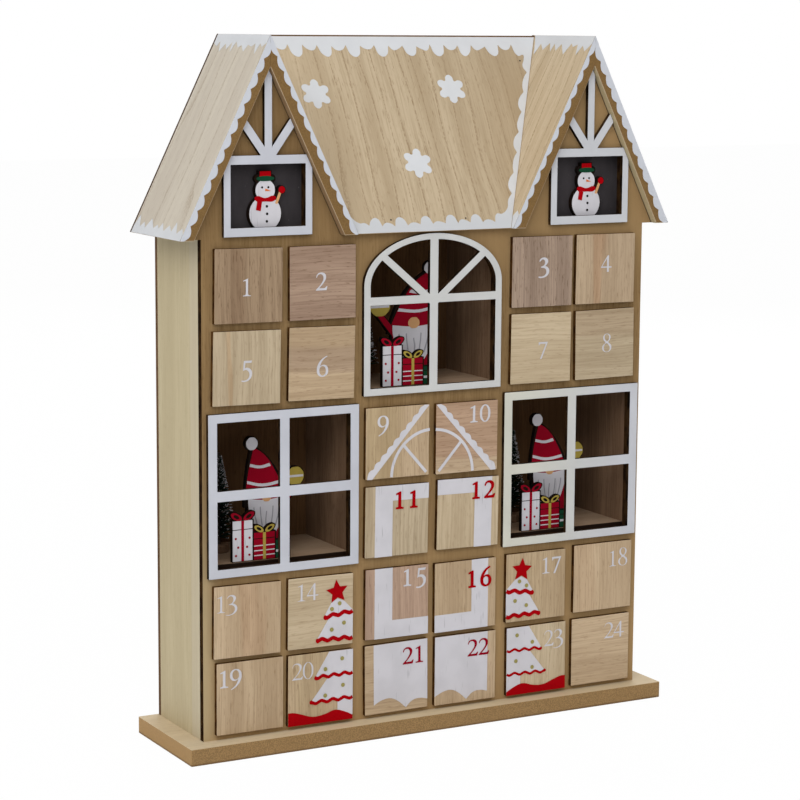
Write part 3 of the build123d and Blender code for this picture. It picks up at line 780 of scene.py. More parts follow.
SIX = [
    [(53, 117, 1), (28, 100), (8, 70), (1, 36), (9, 8), (31, -2), (53, 9), (60, 33), (53, 57),
     (37, 66), (17, 58, 1), (24, 79), (38, 100), (55, 113, 1)],
    [(31, 4), (44, 13), (48, 32), (43, 51), (31, 59), (18, 52), (14, 33), (19, 13)],
]
DIGITS = {
    "0": [
        [(29, -2), (50, 13), (58, 50), (50, 87), (29, 102), (8, 87), (0, 50), (8, 13)],
        [(29, 4), (41, 17), (46, 50), (41, 83), (29, 96), (17, 83), (12, 50), (17, 17)],
    ],
    "1": [
        [(1, 0, 1), (42, 0, 1), (42, 5, 1), (30, 8, 1), (27.5, 13, 1), (27.5, 100, 1), (25, 100, 1),
         (2, 88, 1), (2, 83, 1), (14, 86, 1), (15.5, 82, 1), (15.5, 13, 1), (13, 8, 1), (1, 5, 1)],
    ],
    "2": [
        [(3, 74, 1), (9, 91), (28, 101), (49, 92), (54, 73), (45, 48), (18, 12, 1), (48, 12, 1),
         (57, 22, 1), (61, 22, 1), (56, 0, 1), (2, 0, 1), (2, 4, 1), (33, 43), (41, 70), (35, 87),
         (23, 92), (11, 85), (7, 73, 1)],
    ],
    "3": [
        [(5.7, 80, 1), (12.5, 93), (30.8, 101), (50.2, 92), (53.6, 74), (38.8, 51, 1), (53.6, 42),
         (61.6, 20), (50.2, -6), (20.5, -19), (2.3, -17, 1), (2.3, -11, 1), (23.9, -11), (41, 0),
         (46.7, 20), (37.6, 37), (16, 42, 1), (16, 47, 1), (33.1, 56), (38.8, 74), (33.1, 88),
         (21.7, 91), (10.3, 79, 1)],
    ],
    "4": [
        [(38, 100, 1), (47, 100, 1), (47, 34, 1), (62, 34, 1), (62, 25, 1), (47, 25, 1), (47, 0, 1),
         (35, 0, 1), (35, 25, 1), (0, 25, 1), (0, 31, 1)],
        [(35, 34, 1), (8, 34, 1), (35, 82, 1)],
    ],
    "5": [
        [(13, 99, 1), (50, 99, 1), (53, 102, 1), (50, 87, 1), (20, 87, 1), (16.5, 57, 1), (28, 60),
         (47, 50), (54, 26), (43, -5), (17, -19), (2, -17, 1), (2, -11, 1), (21, -11), (37, 3),
         (41, 24), (34, 42), (21, 48), (8.5, 43, 1)],
    ],
    "6": SIX,
    "7": [
        [(3, 99, 1), (56, 99, 1), (56, 94, 1), (23, -3, 1), (11, -3, 1), (43, 86, 1), (13, 86, 1),
         (6, 76, 1), (3, 76, 1)],
    ],
    "8": [
        [(30, 114), (47, 106), (53, 89), (48, 73), (40, 62), (53, 47), (58, 28), (50, 7), (30, -2),
         (9, 7), (1, 27), (6, 44), (20, 58), (11, 71), (7, 87), (13, 106)],
        [(30, 108), (20, 102), (18, 90), (22, 77), (33, 68), (39, 76), (42, 90), (39, 102)],
        [(30, 4), (42, 10), (46, 25), (41, 39), (27, 52), (16, 41), (13, 27), (18, 10)],
    ],
    "9": [[(62 - x, 100 - y, *corner) for x, y, *corner in outline] for outline in SIX],
}

# Tone, direction across the grain, number's place on the face (from the left and the top), spacing of
# its figures and their weight, then how far the face is glued to the right, up and turned (mm and degrees)
DRAWERS = [
    ("brown", "X", 0.47, 0.52, 0.72, "thin", 0.9, 0.5, -0.6),
    ("umber", "Z", 0.475, 0.485, 0.72, "white", 0.9, 0.3, 0.1),
    ("ash", "X", 0.52, 0.425, 0.72, "bold", 0.7, 0.4, -0.3),
    ("fawn", "X", 0.51, 0.43, 0.72, "thin", -1.0, 0.3, -0.3),
    ("beige", "X", 0.495, 0.52, 0.72, "white", -0.4, -0.1, -0.9),
    ("tan", "Z", 0.505, 0.56, 0.72, "white", 0.35, -0.2, -1.0),
    ("cream", "Z", 0.53, 0.53, 0.72, "fine", 0.5, 0.2, -0.4),
    ("beige", "Z", 0.53, 0.505, 0.72, "fine", -0.5, 0.2, 0.5),
    ("tan", "X", 0.265, 0.24, 0.72, "white", -0.3, 0.2, -0.2),
    ("copper", "Z", 0.7, 0.18, 0.76, "white", -0.1, -0.3, -0.1),
    ("beige", "X", 0.65, 0.215, 0.94, "red", -0.5, -0.7, -0.6),
    ("cream", "X", 0.735, 0.185, 0.93, "red", 1.2, -0.4, -0.8),
    ("honey", "X", 0.18, 0.245, 0.64, "fine", -0.5, -0.5, -0.6),
    ("cream", "Z", 0.285, 0.21, 0.7, "fine", -0.3, -0.6, -0.6),
    ("rose", "X", 0.77, 0.165, 0.9, "bold", -0.1, -0.4, -0.3),
    ("tan", "X", 0.72, 0.28, 0.95, "red", 0.0, -1.05, 0.1),
    ("tan", "X", 0.755, 0.22, 0.73, "thin", -0.7, -0.55, -0.1),
    ("honey", "X", 0.76, 0.255, 0.72, "fine", 1.2, 0.4, 0.0),
    ("tan", "X", 0.195, 0.22, 0.72, "white", 1.05, 0.5, -0.2),
    ("tan", "X", 0.22, 0.235, 0.69, "fine", -0.3, -0.2, -0.4),
    ("tan", "Z", 0.775, 0.215, 0.76, "crimson", -0.2, 0.0, 0.5),
    ("honey", "X", 0.71, 0.22, 0.76, "crimson", 0.4, -0.2, -0.1),
    ("cream", "X", 0.79, 0.225, 0.68, "fine", 0.3, -0.35, 0.1),
    ("honey", "Z", 0.735, 0.235, 0.73, "fine", 0.4, 0.0, 0.2),
]


# Painted shapes of the faces, in shares of the face: radius of a dot, height and length of a garland's
# wave, radius and width of the door's fanlight, reach of a star and of its inner corners against its points
FACE_DOT = 0.029
WAVE_HEIGHT, WAVE_LENGTH = 0.016, 0.043
FAN_RADIUS, FAN_WIDTH = 0.645, 0.042
STAR_REACH, STAR_INNER = 0.173, 0.48
# Last place on a face that paint reaches
FACE_END = 0.996


def star(x, y, turn):
    """Plump five-pointed star, a little turned."""
    reach = (STAR_REACH, STAR_REACH * STAR_INNER)
    turns = [math.radians(turn + 36 * i) for i in range(10)]
    points = zip(reach * 5, turns)
    return corners([(x + far * math.cos(t), y + far * math.sin(t)) for far, t in points])


def garland(x_low, y_low, x_high, y_high, width):
    """Wavy ribbon between two points, with a round far end."""
    count = max(6, round(abs(x_high - x_low) / WAVE_LENGTH))
    points = []
    for i in range(count + 1):
        share = i / count
        wave = -WAVE_HEIGHT * math.sin(i * math.pi / 2)
        points.append((x_low + (x_high - x_low) * share, y_low + (y_high - y_low) * share + wave))
    outline = stroke(points, width)
    outline[count], outline[count + 1] = outline[count][:2], outline[count + 1][:2]
    return outline


def quarter_arc(centre_x, first, last):
    """Painted arc of the door's fanlight, about a centre on the bottom edge."""
    turns = [math.radians(first + (last - first) * i / 8) for i in range(9)]
    points = [(centre_x + FAN_RADIUS * math.cos(t), FAN_RADIUS * math.sin(t)) for t in turns]
    return stroke(points, FAN_WIDTH)


def scalloped_rake(x_low, x_high):
    """Diagonal white line with scallops on its upper side, from the outer bottom to the inner top."""
    lean = 1 if x_high > x_low else -1
    outline = [(x_low + 0.095 * lean, 0.0, 1), (x_high, 0.99, 1), (x_high - 0.07 * lean, 0.995, 1)]
    count = 9
    start, end = (x_high - 0.075 * lean, 0.985), (x_low + 0.02 * lean, 0.04)
    for i in range(count):
        for share, bulge, corner in ((0.5, 0.028, ()), (1.0, 0.0, (1,))):
            along = (i + share) / count
            x = start[0] + (end[0] - start[0]) * along - bulge * lean * 0.75
            y = start[1] + (end[1] - start[1]) * along + bulge * 0.65
            outline.append((max(1 - FACE_END, min(FACE_END, x)), min(FACE_END, y), *corner))
    outline.append((x_low + 0.015 * lean, 0.0, 1))
    return outline


def half_tree(edge, lean, tiers, ribbons, widths, dots):
    """Half a painted tree that leans away from an edge of its face: tiers, ribbons and dots."""
    def at(points):
        return [(edge + lean * u, v, *corner) for u, v, *corner in points]

    red = []
    for ribbon, wide in zip(ribbons, widths):
        (u, v), (u_end, v_end) = at(ribbon)
        red.append(garland(u, v, u_end, v_end, wide))
    return [corners(at(tier)) for tier in tiers], red, [disc(u, v, FACE_DOT) for u, v in at(dots)]


def tree_top(x, edge, lean):
    """Upper half of a half tree, with a star."""
    tiers = [
        [(0.0, 0.48), (x - 0.115, 0.617), (x - 0.01, 0.664), (x + 0.085, 0.61), (x + 0.2, 0.42),
         (0.0, 0.46)],
        [(0.0, 0.47), (x + 0.105, 0.42), (x + 0.31, 0.1), (0.0, 0.09)],
    ]
    ribbons = [((0.005, 0.465), (x + 0.195, 0.415)), ((0.005, 0.09), (x + 0.31, 0.1))]
    dots = [(x - 0.04, 0.59), (x + 0.08, 0.52), (x - 0.11, 0.31), (x + 0.08, 0.23)]
    white, red, gold = half_tree(edge, lean, tiers, ribbons, (0.058, 0.056), dots)
    return white, red + [star(edge + lean * x, 0.758, 91 - 5 * lean)], gold


def tree_foot(edge, lean, width):
    """Lower half of a half tree, with a trunk and a red hill."""
    tiers = [
        [(0.0, FACE_END), (0.37, FACE_END), (0.59, 0.65), (0.0, 0.66)],
        [(0.0, 0.67), (0.38, 0.64), (0.655, 0.3), (0.0, 0.31)],
        [(0.0, 0.32), (0.235, 0.31), (0.235, 0.08), (0.0, 0.04)],
    ]
    ribbons = [((0.005, 0.665), (0.59, 0.65)), ((0.005, 0.315), (0.66, 0.295))]
    dots = [(0.17, 0.88), (0.43, 0.755), (0.155, 0.5), (0.43, 0.38)]
    hill = [(0.0, 0.0, 1), (0.0, 0.055, 1), (0.13, 0.12), (0.27, 0.157), (0.45, 0.112), (0.62, 0.1),
            (0.8, 0.155), (0.93, 0.19), (0.998, 0.19, 1), (0.998, 0.0, 1)]
    white, red, gold = half_tree(edge, lean, tiers, ribbons, (width, width), dots)
    return white, red + [[(edge + lean * u, v, *corner) for u, v, *corner in hill]], gold


def scalloped_panel(x_low, x_high, first):
    """White panel whose lower edge hangs in points between round humps."""
    outline = [(x_low, FACE_END, 1), (x_low, 0.13, 1)]
    knots = [(-0.23, 0.15), (-0.1, 0.2), (0, 0.205), (0.1, 0.165), (0.25, 0.04, 1), (0.36, 0.13),
             (0.48, 0.145), (0.58, 0.125)]
    knots = [(first + x, *knot) for x, *knot in knots]
    outline += [knot for knot in knots if x_low + 0.02 < knot[0] < x_high - 0.02]
    return outline + [(x_high, 0.12, 1), (x_high, FACE_END, 1)]


def fanlight(rake, centre, turns, spoke):
    """Half of the door's gable: its rake, an arc and a spoke."""
    arc = [(x, max(y, 1 - FACE_END), *corner) for x, y, *corner in quarter_arc(centre, *turns)]
    return [scalloped_rake(*rake), arc, stroke(spoke, FAN_WIDTH)]


# Painted shapes of the faces as shares of them from the lower left corner: white, red and dull gold
GRAPHICS = {
    9: (fanlight((0.01, 0.995), 1.05, (94, 179), [(0.955, 0.045), (0.6, 0.44)]), [], []),
    10: (fanlight((0.99, 0.005), -0.05, (1, 86), [(0.045, 0.045), (0.4, 0.44)]), [], []),
    11: ([bar(0.156, 0.0, 0.43, 0.8), bar(0.156, 0.785, 1.0, 1.0)], [], []),
    12: ([bar(0.605, 0.0, 0.886, 0.8), bar(0.0, 0.785, 0.886, 1.0)], [], []),
    14: tree_top(0.25, 1.0, -1),
    15: ([bar(0.145, 0.24, 0.425, 1.0), bar(0.145, 0.0, 1.0, 0.25)], [], []),
    16: ([bar(0.6, 0.24, 0.87, 1.0), bar(0.0, 0.0, 0.87, 0.25)], [], []),
    17: tree_top(0.26, 0.0, 1),
    20: tree_foot(1.0, -1, 0.047),
    21: ([scalloped_panel(0.14, 0.998, 0.4)], [], []),
    22: ([scalloped_panel(0.002, 0.865, 0.27)], [], []),
    23: tree_foot(0.0, 1, 0.036),
}

# Paint, swelling of the outlines and layer for each weight of the numbers
WEIGHTS = {
    "bold": ("white", 0.008, 0.4), "white": ("white", 0.002, 0.4), "thin": ("white", -0.01, 0.4),
    "fine": ("white", -0.018, 0.4), "red": ("red", 0.026, 1.6), "crimson": ("crimson", 0.002, 1.6),
}
# Step in layers from one painted shape of a colour to the next
LAYER_STEP = 0.15
# Breadth of the figures against their drawn outlines
BROAD = 1.22


def digit_model(digit, weight):
    """One painted figure with its lower left corner at the origin."""
    ink, bold, _ = WEIGHTS[weight]
    outlines = []
    for i, outline in enumerate(DIGITS[digit]):
        outline = [(BROAD * x / 100, y / 100, *corner) for x, y, *corner in outline]
        outlines.append(swell(outline, -bold if i else bold))
    height = sizes().number_height
    return flat_shape(outlines, finish_named(ink + "_paint"), Matrix.Diagonal((height, height, 1, 1)))


def face_model(low, high):
    """Face board of a drawer: bare front, burnt edges."""
    face = rounded_board(low, high, sizes().edge, finish_named("burnt_edge"))
    face.data.materials.append(finish_named("burnt_edge"))
    for polygon in face.data.polygons:
        polygon.material_index = 0 if polygon.normal.y < -0.9 else 1
    return face


def drawer_face(number, board, digits, low, high):
    """Face board, numbered and painted, and glued a little out of line."""
    tone, across, number_x, number_y, spacing, weight, right, up, turned = DRAWERS[number - 1]
    size = sizes()
    wide, tall = high.x - low.x, high.z - low.z
    face = copied(board, f"face_{number:02d}", Matrix.Translation(low))
    wood_name, heart = f"drawer_{tone}_{across}", HEARTS.get(number)
    if heart:
        start, span = (low.x, wide) if across == "X" else (low.z, tall)
        wood_name, heart = f"drawer_{number:02d}", (start + heart[0] * span, heart[1] * span, heart[2])
    face.data.materials[0] = finish_named(wood_name, drawer_wood, tone, across, heart)
    pieces = [face]
    place = Matrix.Translation(low) @ FACE_FRONT
    share = place @ Matrix.Diagonal((wide, tall, 1, 1))
    for level, (ink, shapes) in enumerate(zip(("white", "red", "olive"), GRAPHICS.get(number, ()))):
        coat = finish_named(ink + "_paint")
        for i, shape in enumerate(shapes):
            pieces.append(flat_shape([shape], coat, share, level + LAYER_STEP * i))
    layer = size.paint * WEIGHTS[weight][2]
    text = str(number)
    for i, digit in enumerate(text):
        model = digits[digit, weight]
        middle = max(corner[0] for corner in model.bound_box) / 2
        x = number_x * wide + size.number_height * spacing * (i - (len(text) - 1) / 2) - middle
        y = (1 - number_y) * tall - size.number_height / 2
        pieces.append(copied(model, f"figure_{i}", place @ Matrix.Translation((x, y, layer))))
    made = join(f"face_{number:02d}", pieces)
    middle = (low + high) / 2
    shift = Vector((right, 0, up)) * MM
    turn = Matrix.Rotation(math.radians(-turned), 4, "Y")
    made.data.transform(Matrix.Translation(middle + shift) @ turn @ Matrix.Translation(-middle))
    return made


# Operators


class CALENDAR_OT_carcass(Operator):
    """Finish the base, walls, floors, shelves and the stained front"""

    bl_idname = "calendar.carcass"
    bl_label = "Carcass"

    def execute(self, context):
        edge = sizes().edge
        dress("base_board", "base_veneer", 2 * edge)
        for side, _ in SIDES:
            dress(f"{side}_wall", "wall_veneer", edge)
            dress(f"{side}_upright", "inner_upright")
        dress("front_panel", "stained_panel")
        dress("back_panel", "back_board")
        for kind in ("house_floor", "attic_floor", "side_room_shelves", "side_drawer_shelves",
                     "centre_shelves"):
            dress(kind, "inner_shelf")
        dress("drawer_dividers", "inner_upright")
        return {"FINISHED"}


class CALENDAR_OT_windows(Operator):
    """Paint the five window frames and darken the boards behind the attic windows"""

    bl_idname = "calendar.windows"
    bl_label = "Windows"

    def execute(self, context):
        for node in FRAMES:
            dress(node, node, sizes().edge)
        for side, _ in SIDES:
            dress(f"{side}_attic_backing", "dark_backing")
        return {"FINISHED"}


# Depth of the snow scallops on each gable board, at their points and at their fullest
SCALLOPS = {
    "left_roof_outer": (2.2 * MM, 4.3 * MM), "left_roof_inner": (1.6 * MM, 3.3 * MM),
    "right_roof_inner": (1.6 * MM, 3.3 * MM), "right_roof_outer": (3.1 * MM, 4.9 * MM),
}
# Icicles at the ridge and the eave of a gable slope: their short and long depth and their pitch
RIDGE_ICICLES = (6.2 * MM, 12.5 * MM, 8.2 * MM)
EAVE_ICICLES = (4.8 * MM, 10.5 * MM, 8.8 * MM)
# Snow of an inner slope: depth in the valley, at the front of the eave and at its fullest, and where that is
VALLEY_SNOW, EAVE_FRONT, EAVE_FULL, FULL_AT = 8 * MM, 9 * MM, 11.8 * MM, 3.5 * MM
# Bare rim that the snow leaves at an edge of its board
BARE_RIM = 0.2 * MM


def torn_edge(length, shallow, deep, pitch, draw):
    """Icicle edge: long and short points in turn, unevenly spaced."""
    points = []
    count = max(2, round(length / pitch))
    for i in range(count):
        tip = deep if i % 2 else 0.5 * (shallow + deep)
        notch = (i + draw.uniform(-0.2, 0.2) * bool(i)) / count
        points.append((length * notch, shallow * draw.uniform(0.75, 1.15)))
        points.append((length * (i + draw.uniform(0.3, 0.68)) / count, tip * draw.uniform(0.82, 1.12)))
    return points + [(length, shallow)]


class CALENDAR_OT_gables(Operator):
    """Veneer the gable roofs, and paint icicles on their slopes and scallops on their front edges"""

    bl_idname = "calendar.gables"
    bl_label = "Gables"

    def execute(self, context):
        draw = random.Random(7)
        for side, sign in SIDES:
            outer = "pale_gable_veneer" if side == "left" else "gable_veneer"
            self.board(f"{side}_roof_outer", sign, outer, draw)
            self.board(f"{side}_roof_inner", -sign, "inner_gable_veneer", draw)
        return {"FINISHED"}

    def board(self, node, lean, veneer, draw):
        """One board of a gable with its snow."""
        dress(node, veneer, sizes().edge)
        low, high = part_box(node)
        main_low, main_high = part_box("main_roof")
        span, rise = high.x - low.x, high.z - low.z
        slope = math.hypot(span, rise)
        down = Vector((lean * span, 0, -rise)) / slope
        out = Vector((lean * rise, 0, span)) / slope
        ridge = Vector((low.x if lean == 1 else high.x, low.y, high.z))
        start, end = BARE_RIM, slope - BARE_RIM
        if "outer" in node:
            reach = high.y - low.y - BARE_REAR
            top = torn_edge(reach, *RIDGE_ICICLES, draw)
            foot = [(u, slope - d) for u, d in torn_edge(reach, *EAVE_ICICLES, draw)] + [(reach, end)]
        else:
            reach = main_high.y - low.y - BARE_RIM / 2
            valley = VALLEY_SNOW * (main_high.y - main_low.y) / slope
            top = torn_edge(reach - valley, *RIDGE_ICICLES, draw)
            eave = main_low.y - low.y
            foot = [(0, slope - EAVE_FRONT), (FULL_AT, slope - EAVE_FULL)]
            foot += [(eave + valley, slope - VALLEY_SNOW), (eave, end)]
        roof = laid((0, 1, 0), down, out, ridge)
        snow = finish_named("snow_paint")
        coats = [
            flat_shape([corners([(0, start), *top, (reach, start)])], snow, roof),
            flat_shape([corners([(0, end), *foot])], snow, roof),
            flat_shape([self.scallops(node, slope, rise / span)], snow,
                       laid(-down, -out, (0, -1, 0), ridge + down * slope)),
        ]
        seat(join(f"{node}_snow", coats), "house", "white_frame")

    def scallops(self, node, slope, tangent):
        """Scalloped band along the outer edge of a gable's front, upwards from its foot."""
        cusp, bulge = SCALLOPS[node]
        top, bottom = slope - cusp * tangent - BARE_RIM, cusp / tangent
        count = round((top - bottom) / sizes().scallop_pitch)
        step = (top - bottom) / count
        outer = BARE_RIM / 2
        outline = [(3 * outer, outer, 1), (slope - 3 * outer, outer, 1), (top, cusp, 1)]
        for i in range(count):
            outline.append((top - step * (i + 0.28), bulge * 0.9))
            outline.append((top - step * (i + 0.62), bulge))
            outline.append((top - step * (i + 1), cusp, 1))
        return outline


# Icing of the main roof: depth at its points, of its tall and its short humps, and pitch of the tall ones
FOOT_ICING = (4.6 * MM, 9.8 * MM, 6.6 * MM, 16.5 * MM)
SIDE_ICING = (4.2 * MM, 8.2 * MM, 6.4 * MM, 27 * MM)
TOP_ICING = (6.4 * MM, 13.2 * MM, 9.2 * MM, 18.7 * MM)
# Share of that depth on the left and right side
LEFT_SHARE, RIGHT_SHARE = 0.45, 0.72
# How far up and down the slope the side icing ends, and how far in the icing of the foot and top starts
ICING_FOOT, ICING_TOP = 8.5 * MM, 9.5 * MM
FOOT_INSET, TOP_INSET = (4.5 * MM, 5 * MM), (9 * MM, 5.5 * MM)
# Place across, share of the slope and turn of the snow flowers, and places of the nails
FLOWERS = ((-55.7 * MM, 0.702, 26), (37.6 * MM, 0.722, 28), (0.4 * MM, 0.343, 22))
NAILS = ((92.5 * MM, 0.87), (22.9 * MM, 0.06), (-27.7 * MM, 0.065))
# Radius, height and rounding of a nail head
NAIL = (0.55 * MM, 0.4 * MM, 0.12 * MM)


def humps(start, end, base, tall, short, pitch, draw):
    """Icing edge: tall round humps with short ones between, meeting in points."""
    points = []
    count = max(2, 2 * round((end - start) / pitch))
    for i in range(count):
        top = tall if i % 2 else short
        left, right = (start + (end - start) * (i + k) / count for k in (0, 1))
        if i:
            points.append((left, base * draw.uniform(0.85, 1.15), 1))
        for share in (0.3, 0.7):
            points.append((left + (right - left) * share, top * draw.uniform(0.92, 1.08)))
    return points


class CALENDAR_OT_main_roof(Operator):
    """Veneer the main roof, and paint its icing border and three snow flowers"""

    bl_idname = "calendar.main_roof"
    bl_label = "Main Roof"

    def execute(self, context):
        dress("main_roof", "main_veneer", sizes().edge)
        low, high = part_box("main_roof")
        run, rise = high.y - low.y, high.z - low.z
        slope = math.hypot(run, rise)
        eave_half = -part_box("left_roof_inner")[1].x
        up, out = Vector((0, run, rise)) / slope, Vector((0, -rise, run)) / slope
        place = laid((1, 0, 0), up, out, (0, low.y, low.z))
        snow = finish_named("snow_paint")
        coats = [flat_shape(self.icing(slope, eave_half, high.x), snow, place)]
        flower, nail = self.flower(snow), self.nail()
        for i, (x, share, turn) in enumerate(FLOWERS):
            turned = Matrix.Rotation(math.radians(turn), 4, "Z")
            spot = Matrix.Translation((x, slope * share, 0)) @ turned
            coats.append(copied(flower, f"flower_{i}", place @ spot))
        nails = [
            copied(nail, f"nail_{i}", place @ Matrix.Translation((x, slope * share, 0)))
            for i, (x, share) in enumerate(NAILS)
        ]
        discard(flower, nail)
        seat(join("main_roof_snow", coats), "house", "white_frame")
        seat(join("main_roof_nails", nails), "house", "fibreboard")
        return {"FINISHED"}

    def icing(self, slope, eave_half, ridge_half):
        """Border all round the roof: its outer outline and the bare field inside it."""
        draw = random.Random(23)

        def half(t):
            return eave_half + (ridge_half - eave_half) * t / slope

        rim = 2 * BARE_RIM
        outer = corners([
            (-half(rim) + rim, rim), (half(rim) - rim, rim),
            (half(slope) - 2 * rim, slope - rim), (2 * rim - half(slope), slope - rim),
        ])
        foot, top = ICING_FOOT, slope - ICING_TOP
        sides = (foot + 1 * MM, top - 2 * MM)
        below = humps(FOOT_INSET[0] - half(foot), half(foot) - FOOT_INSET[1], *FOOT_ICING, draw)
        right = [(half(t) - d * RIGHT_SHARE, t, *c) for t, d, *c in humps(*sides, *SIDE_ICING, draw)]
        left = [(d * LEFT_SHARE - half(t), t, *c) for t, d, *c in humps(*sides, *SIDE_ICING, draw)]
        above = humps(TOP_INSET[0] - half(top), half(top) - TOP_INSET[1], *TOP_ICING, draw)
        above = [(x, slope - d, *c) for x, d, *c in above]
        return [outer, below + right + above[::-1] + left[::-1]]

    def flower(self, snow):
        """Six round petals."""
        radius = sizes().flower_radius
        outline = []
        for i in range(6):
            for step, reach in ((-16, 0.87), (0, 1.0), (16, 0.87), (30, 0.64)):
                angle = math.radians(60 * i + step)
                outline.append((radius * reach * math.cos(angle), radius * reach * math.sin(angle)))
        return flat_shape([outline], snow, Matrix())

    def nail(self):
        """Small round head, slightly domed."""
        radius, height, rounding = NAIL
        steel_finish = finish_named("nail_steel")
        head = primitive("cylinder", steel_finish, vertices=12, radius=radius, depth=height)
        apply_modifier(head, "BEVEL", width=rounding, segments=2)
        return head


# How far a snowman's hand stays in from the side of its cut-out, in shares of its height
HAND_INSET = 0.075
# A gnome's cut-out: its share of the drawn height, and its width as shares of the drawn height and width
FIGURE_HEIGHT, BAUBLE_REACH, SLEEVE_REACH = 0.99, 0.085, 1.2


class CALENDAR_OT_snowmen(Operator):
    """Paint the two snowmen in the attic windows"""

    bl_idname = "calendar.snowmen"
    bl_label = "Snowmen"

    def execute(self, context):
        low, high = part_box("left_attic_figure")
        tall = high.z - low.z
        middle = sum(v.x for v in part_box("left_attic_backing")) / 2
        model = self.snowman(tall, (high.x - middle) / tall - HAND_INSET)
        for side, _ in SIDES:
            dress(f"{side}_attic_figure", "cutout_board")
            middle = sum(v.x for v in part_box(f"{side}_attic_backing")) / 2
            place = Matrix.Translation((middle, low.y, low.z)) @ FACE_FRONT
            seat(copied(model, f"{side}_attic_paint", place), "house", "painted_cutout")
        discard(model)
        return {"FINISHED"}

    def snowman(self, tall, hand):
        """Painted snowman with a hat, a scarf and a raised hand, in shares of its height."""
        body = corners([(x, max(0.008, y)) for x, y in disc(0, 0.256, 0.305, count=28)])
        scarf = [(-0.2, 0.5), (0, 0.465), (0.2, 0.5), (0.19, 0.55), (0, 0.525), (-0.19, 0.55)]
        spots = [(x, 0.71, 0.019) for x in (-0.06, 0.06)]
        spots += [(0.03, 0.38, 0.023), (0.035, 0.25, 0.023), (0.03, 0.12, 0.023)]
        return painted("snowman", Matrix.Diagonal((tall, tall, 1, 1)), [
            ("white", 0, body),
            ("white", 0.2, disc(0, 0.66, 0.185)),
            ("skin", 0.3, stroke([(0.21, 0.42), (hand - 0.03, 0.62)], 0.05)),
            ("red", 1, disc(hand, 0.66, 0.062)),
            ("red", 1.2, corners([(-0.11, 0.83), (0.11, 0.83), (0.105, 0.988), (-0.105, 0.988)])),
            ("green", 2, disc(0, 0.862, 0.17, 0.045)),
            ("red", 1.1, scarf),
            ("red", 1.4, corners([(-0.15, 0.5), (-0.06, 0.48), (-0.09, 0.3), (-0.18, 0.32)])),
            *[("black", 1, disc(*spot)) for spot in spots],
            ("orange", 1.2, corners([(0.0, 0.69), (0.11, 0.645), (0.0, 0.645)])),
        ])


class CALENDAR_OT_gnomes(Operator):
    """Paint the three gnomes that stand in the rooms"""

    bl_idname = "calendar.gnomes"
    bl_label = "Gnomes"

    def execute(self, context):
        model = None
        for room in ROOMS:
            node = f"{room}_room_figure"
            dress(node, "cutout_board")
            low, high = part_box(node)
            tall = (high.z - low.z) / FIGURE_HEIGHT
            wide = (high.x - low.x - BAUBLE_REACH * tall) / SLEEVE_REACH
            model = model or self.gnome(tall / wide)
            lean = 1 if room == "arched" else -1
            middle = sum(v.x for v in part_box(f"{room}_window_frame")) / 2
            place = Matrix.Translation((middle, low.y, low.z)) @ FACE_FRONT
            place = place @ Matrix.Diagonal((lean * wide, tall, 1, 1))
            seat(copied(model, f"{room}_room_paint", place), "house", "painted_cutout")
        discard(model)
        return {"FINISHED"}

    def gnome(self, oval):
        """Painted gnome with a cap and a bauble in a raised hand, in shares of its width and height."""
        robe = [(-0.38, 0.014, 1), (0.38, 0.014, 1), (0.455, 0.16), (0.405, 0.44, 1), (-0.405, 0.44, 1),
                (-0.455, 0.16)]
        sleeve = corners([(-0.3, 0.31), (-0.2, 0.335), (-0.635, 0.57), (-0.72, 0.548)])
        beard = [(-0.43, 0.49, 1), (0.43, 0.49, 1), (0.42, 0.4), (0.33, 0.27), (0.2, 0.17), (0.0, 0.09),
                 (-0.2, 0.17), (-0.33, 0.27), (-0.42, 0.4)]
        cap = [(-0.455, 0.475, 1), (0.0, 0.455), (0.485, 0.475, 1), (0.475, 0.56), (0.432, 0.68),
               (0.3, 0.9, 1), (0.02, 0.82), (-0.165, 0.715), (-0.36, 0.565)]
        low_stripe = [(-0.33, 0.585, 1), (0.1, 0.568), (0.455, 0.6, 1), (0.45, 0.624, 1), (0.1, 0.592),
                      (-0.305, 0.609, 1)]
        top_stripe = [(-0.1, 0.735, 1), (0.15, 0.72), (0.395, 0.74, 1), (0.385, 0.764, 1), (0.15, 0.744),
                      (-0.06, 0.759, 1)]
        strands = [[(x, 0.4), (x * 0.93, 0.34), (x * 0.7, 0.24)] for x in (-0.3, -0.15, 0.15, 0.3)]
        strands.append([(0.0, 0.36), (0.02, 0.28), (0.0, 0.18)])
        return painted("gnome", Matrix(), [
            ("crimson", 0, robe),
            ("crimson", 0.2, sleeve),
            ("gold", 1, disc(-0.68, 0.63, 0.077 * oval, 0.077)),
            ("white", 2, bar(-0.68 - 0.07 * oval, 0.622, -0.68 + 0.07 * oval, 0.64)),
            ("white", 1, beard),
            ("crimson", 1.2, cap),
            ("white", 2.2, low_stripe),
            ("white", 2.2, top_stripe),
            *[("grey", 2, stroke(strand, 0.022)) for strand in strands],
            ("white", 1.3, disc(0.34, 0.93, 0.052 * oval, 0.052)),
            ("skin", 2.6, disc(0, 0.485, 0.045 * oval, 0.045)),
            *[("black", 1, disc(x, 0.03, 0.15, 0.022)) for x in (-0.2, 0.2)],
        ])


# Width and height of the group of boxes, and the bare rim round each
BOXES_WIDE, BOXES_TALL, BOX_RIM = 38 * MM, 25 * MM, 0.5 * MM
# Boxes: middle, width and height as shares of the group, share of the bow, wrapping and ribbon
BOXES = (
    (0.19, 0.36, 1.0, 0.16, "white", "crimson"),
    (0.56, 0.38, 0.68, 0.14, "crimson", "gold"),
    (0.87, 0.25, 0.46, 0, "green", "white"),
)
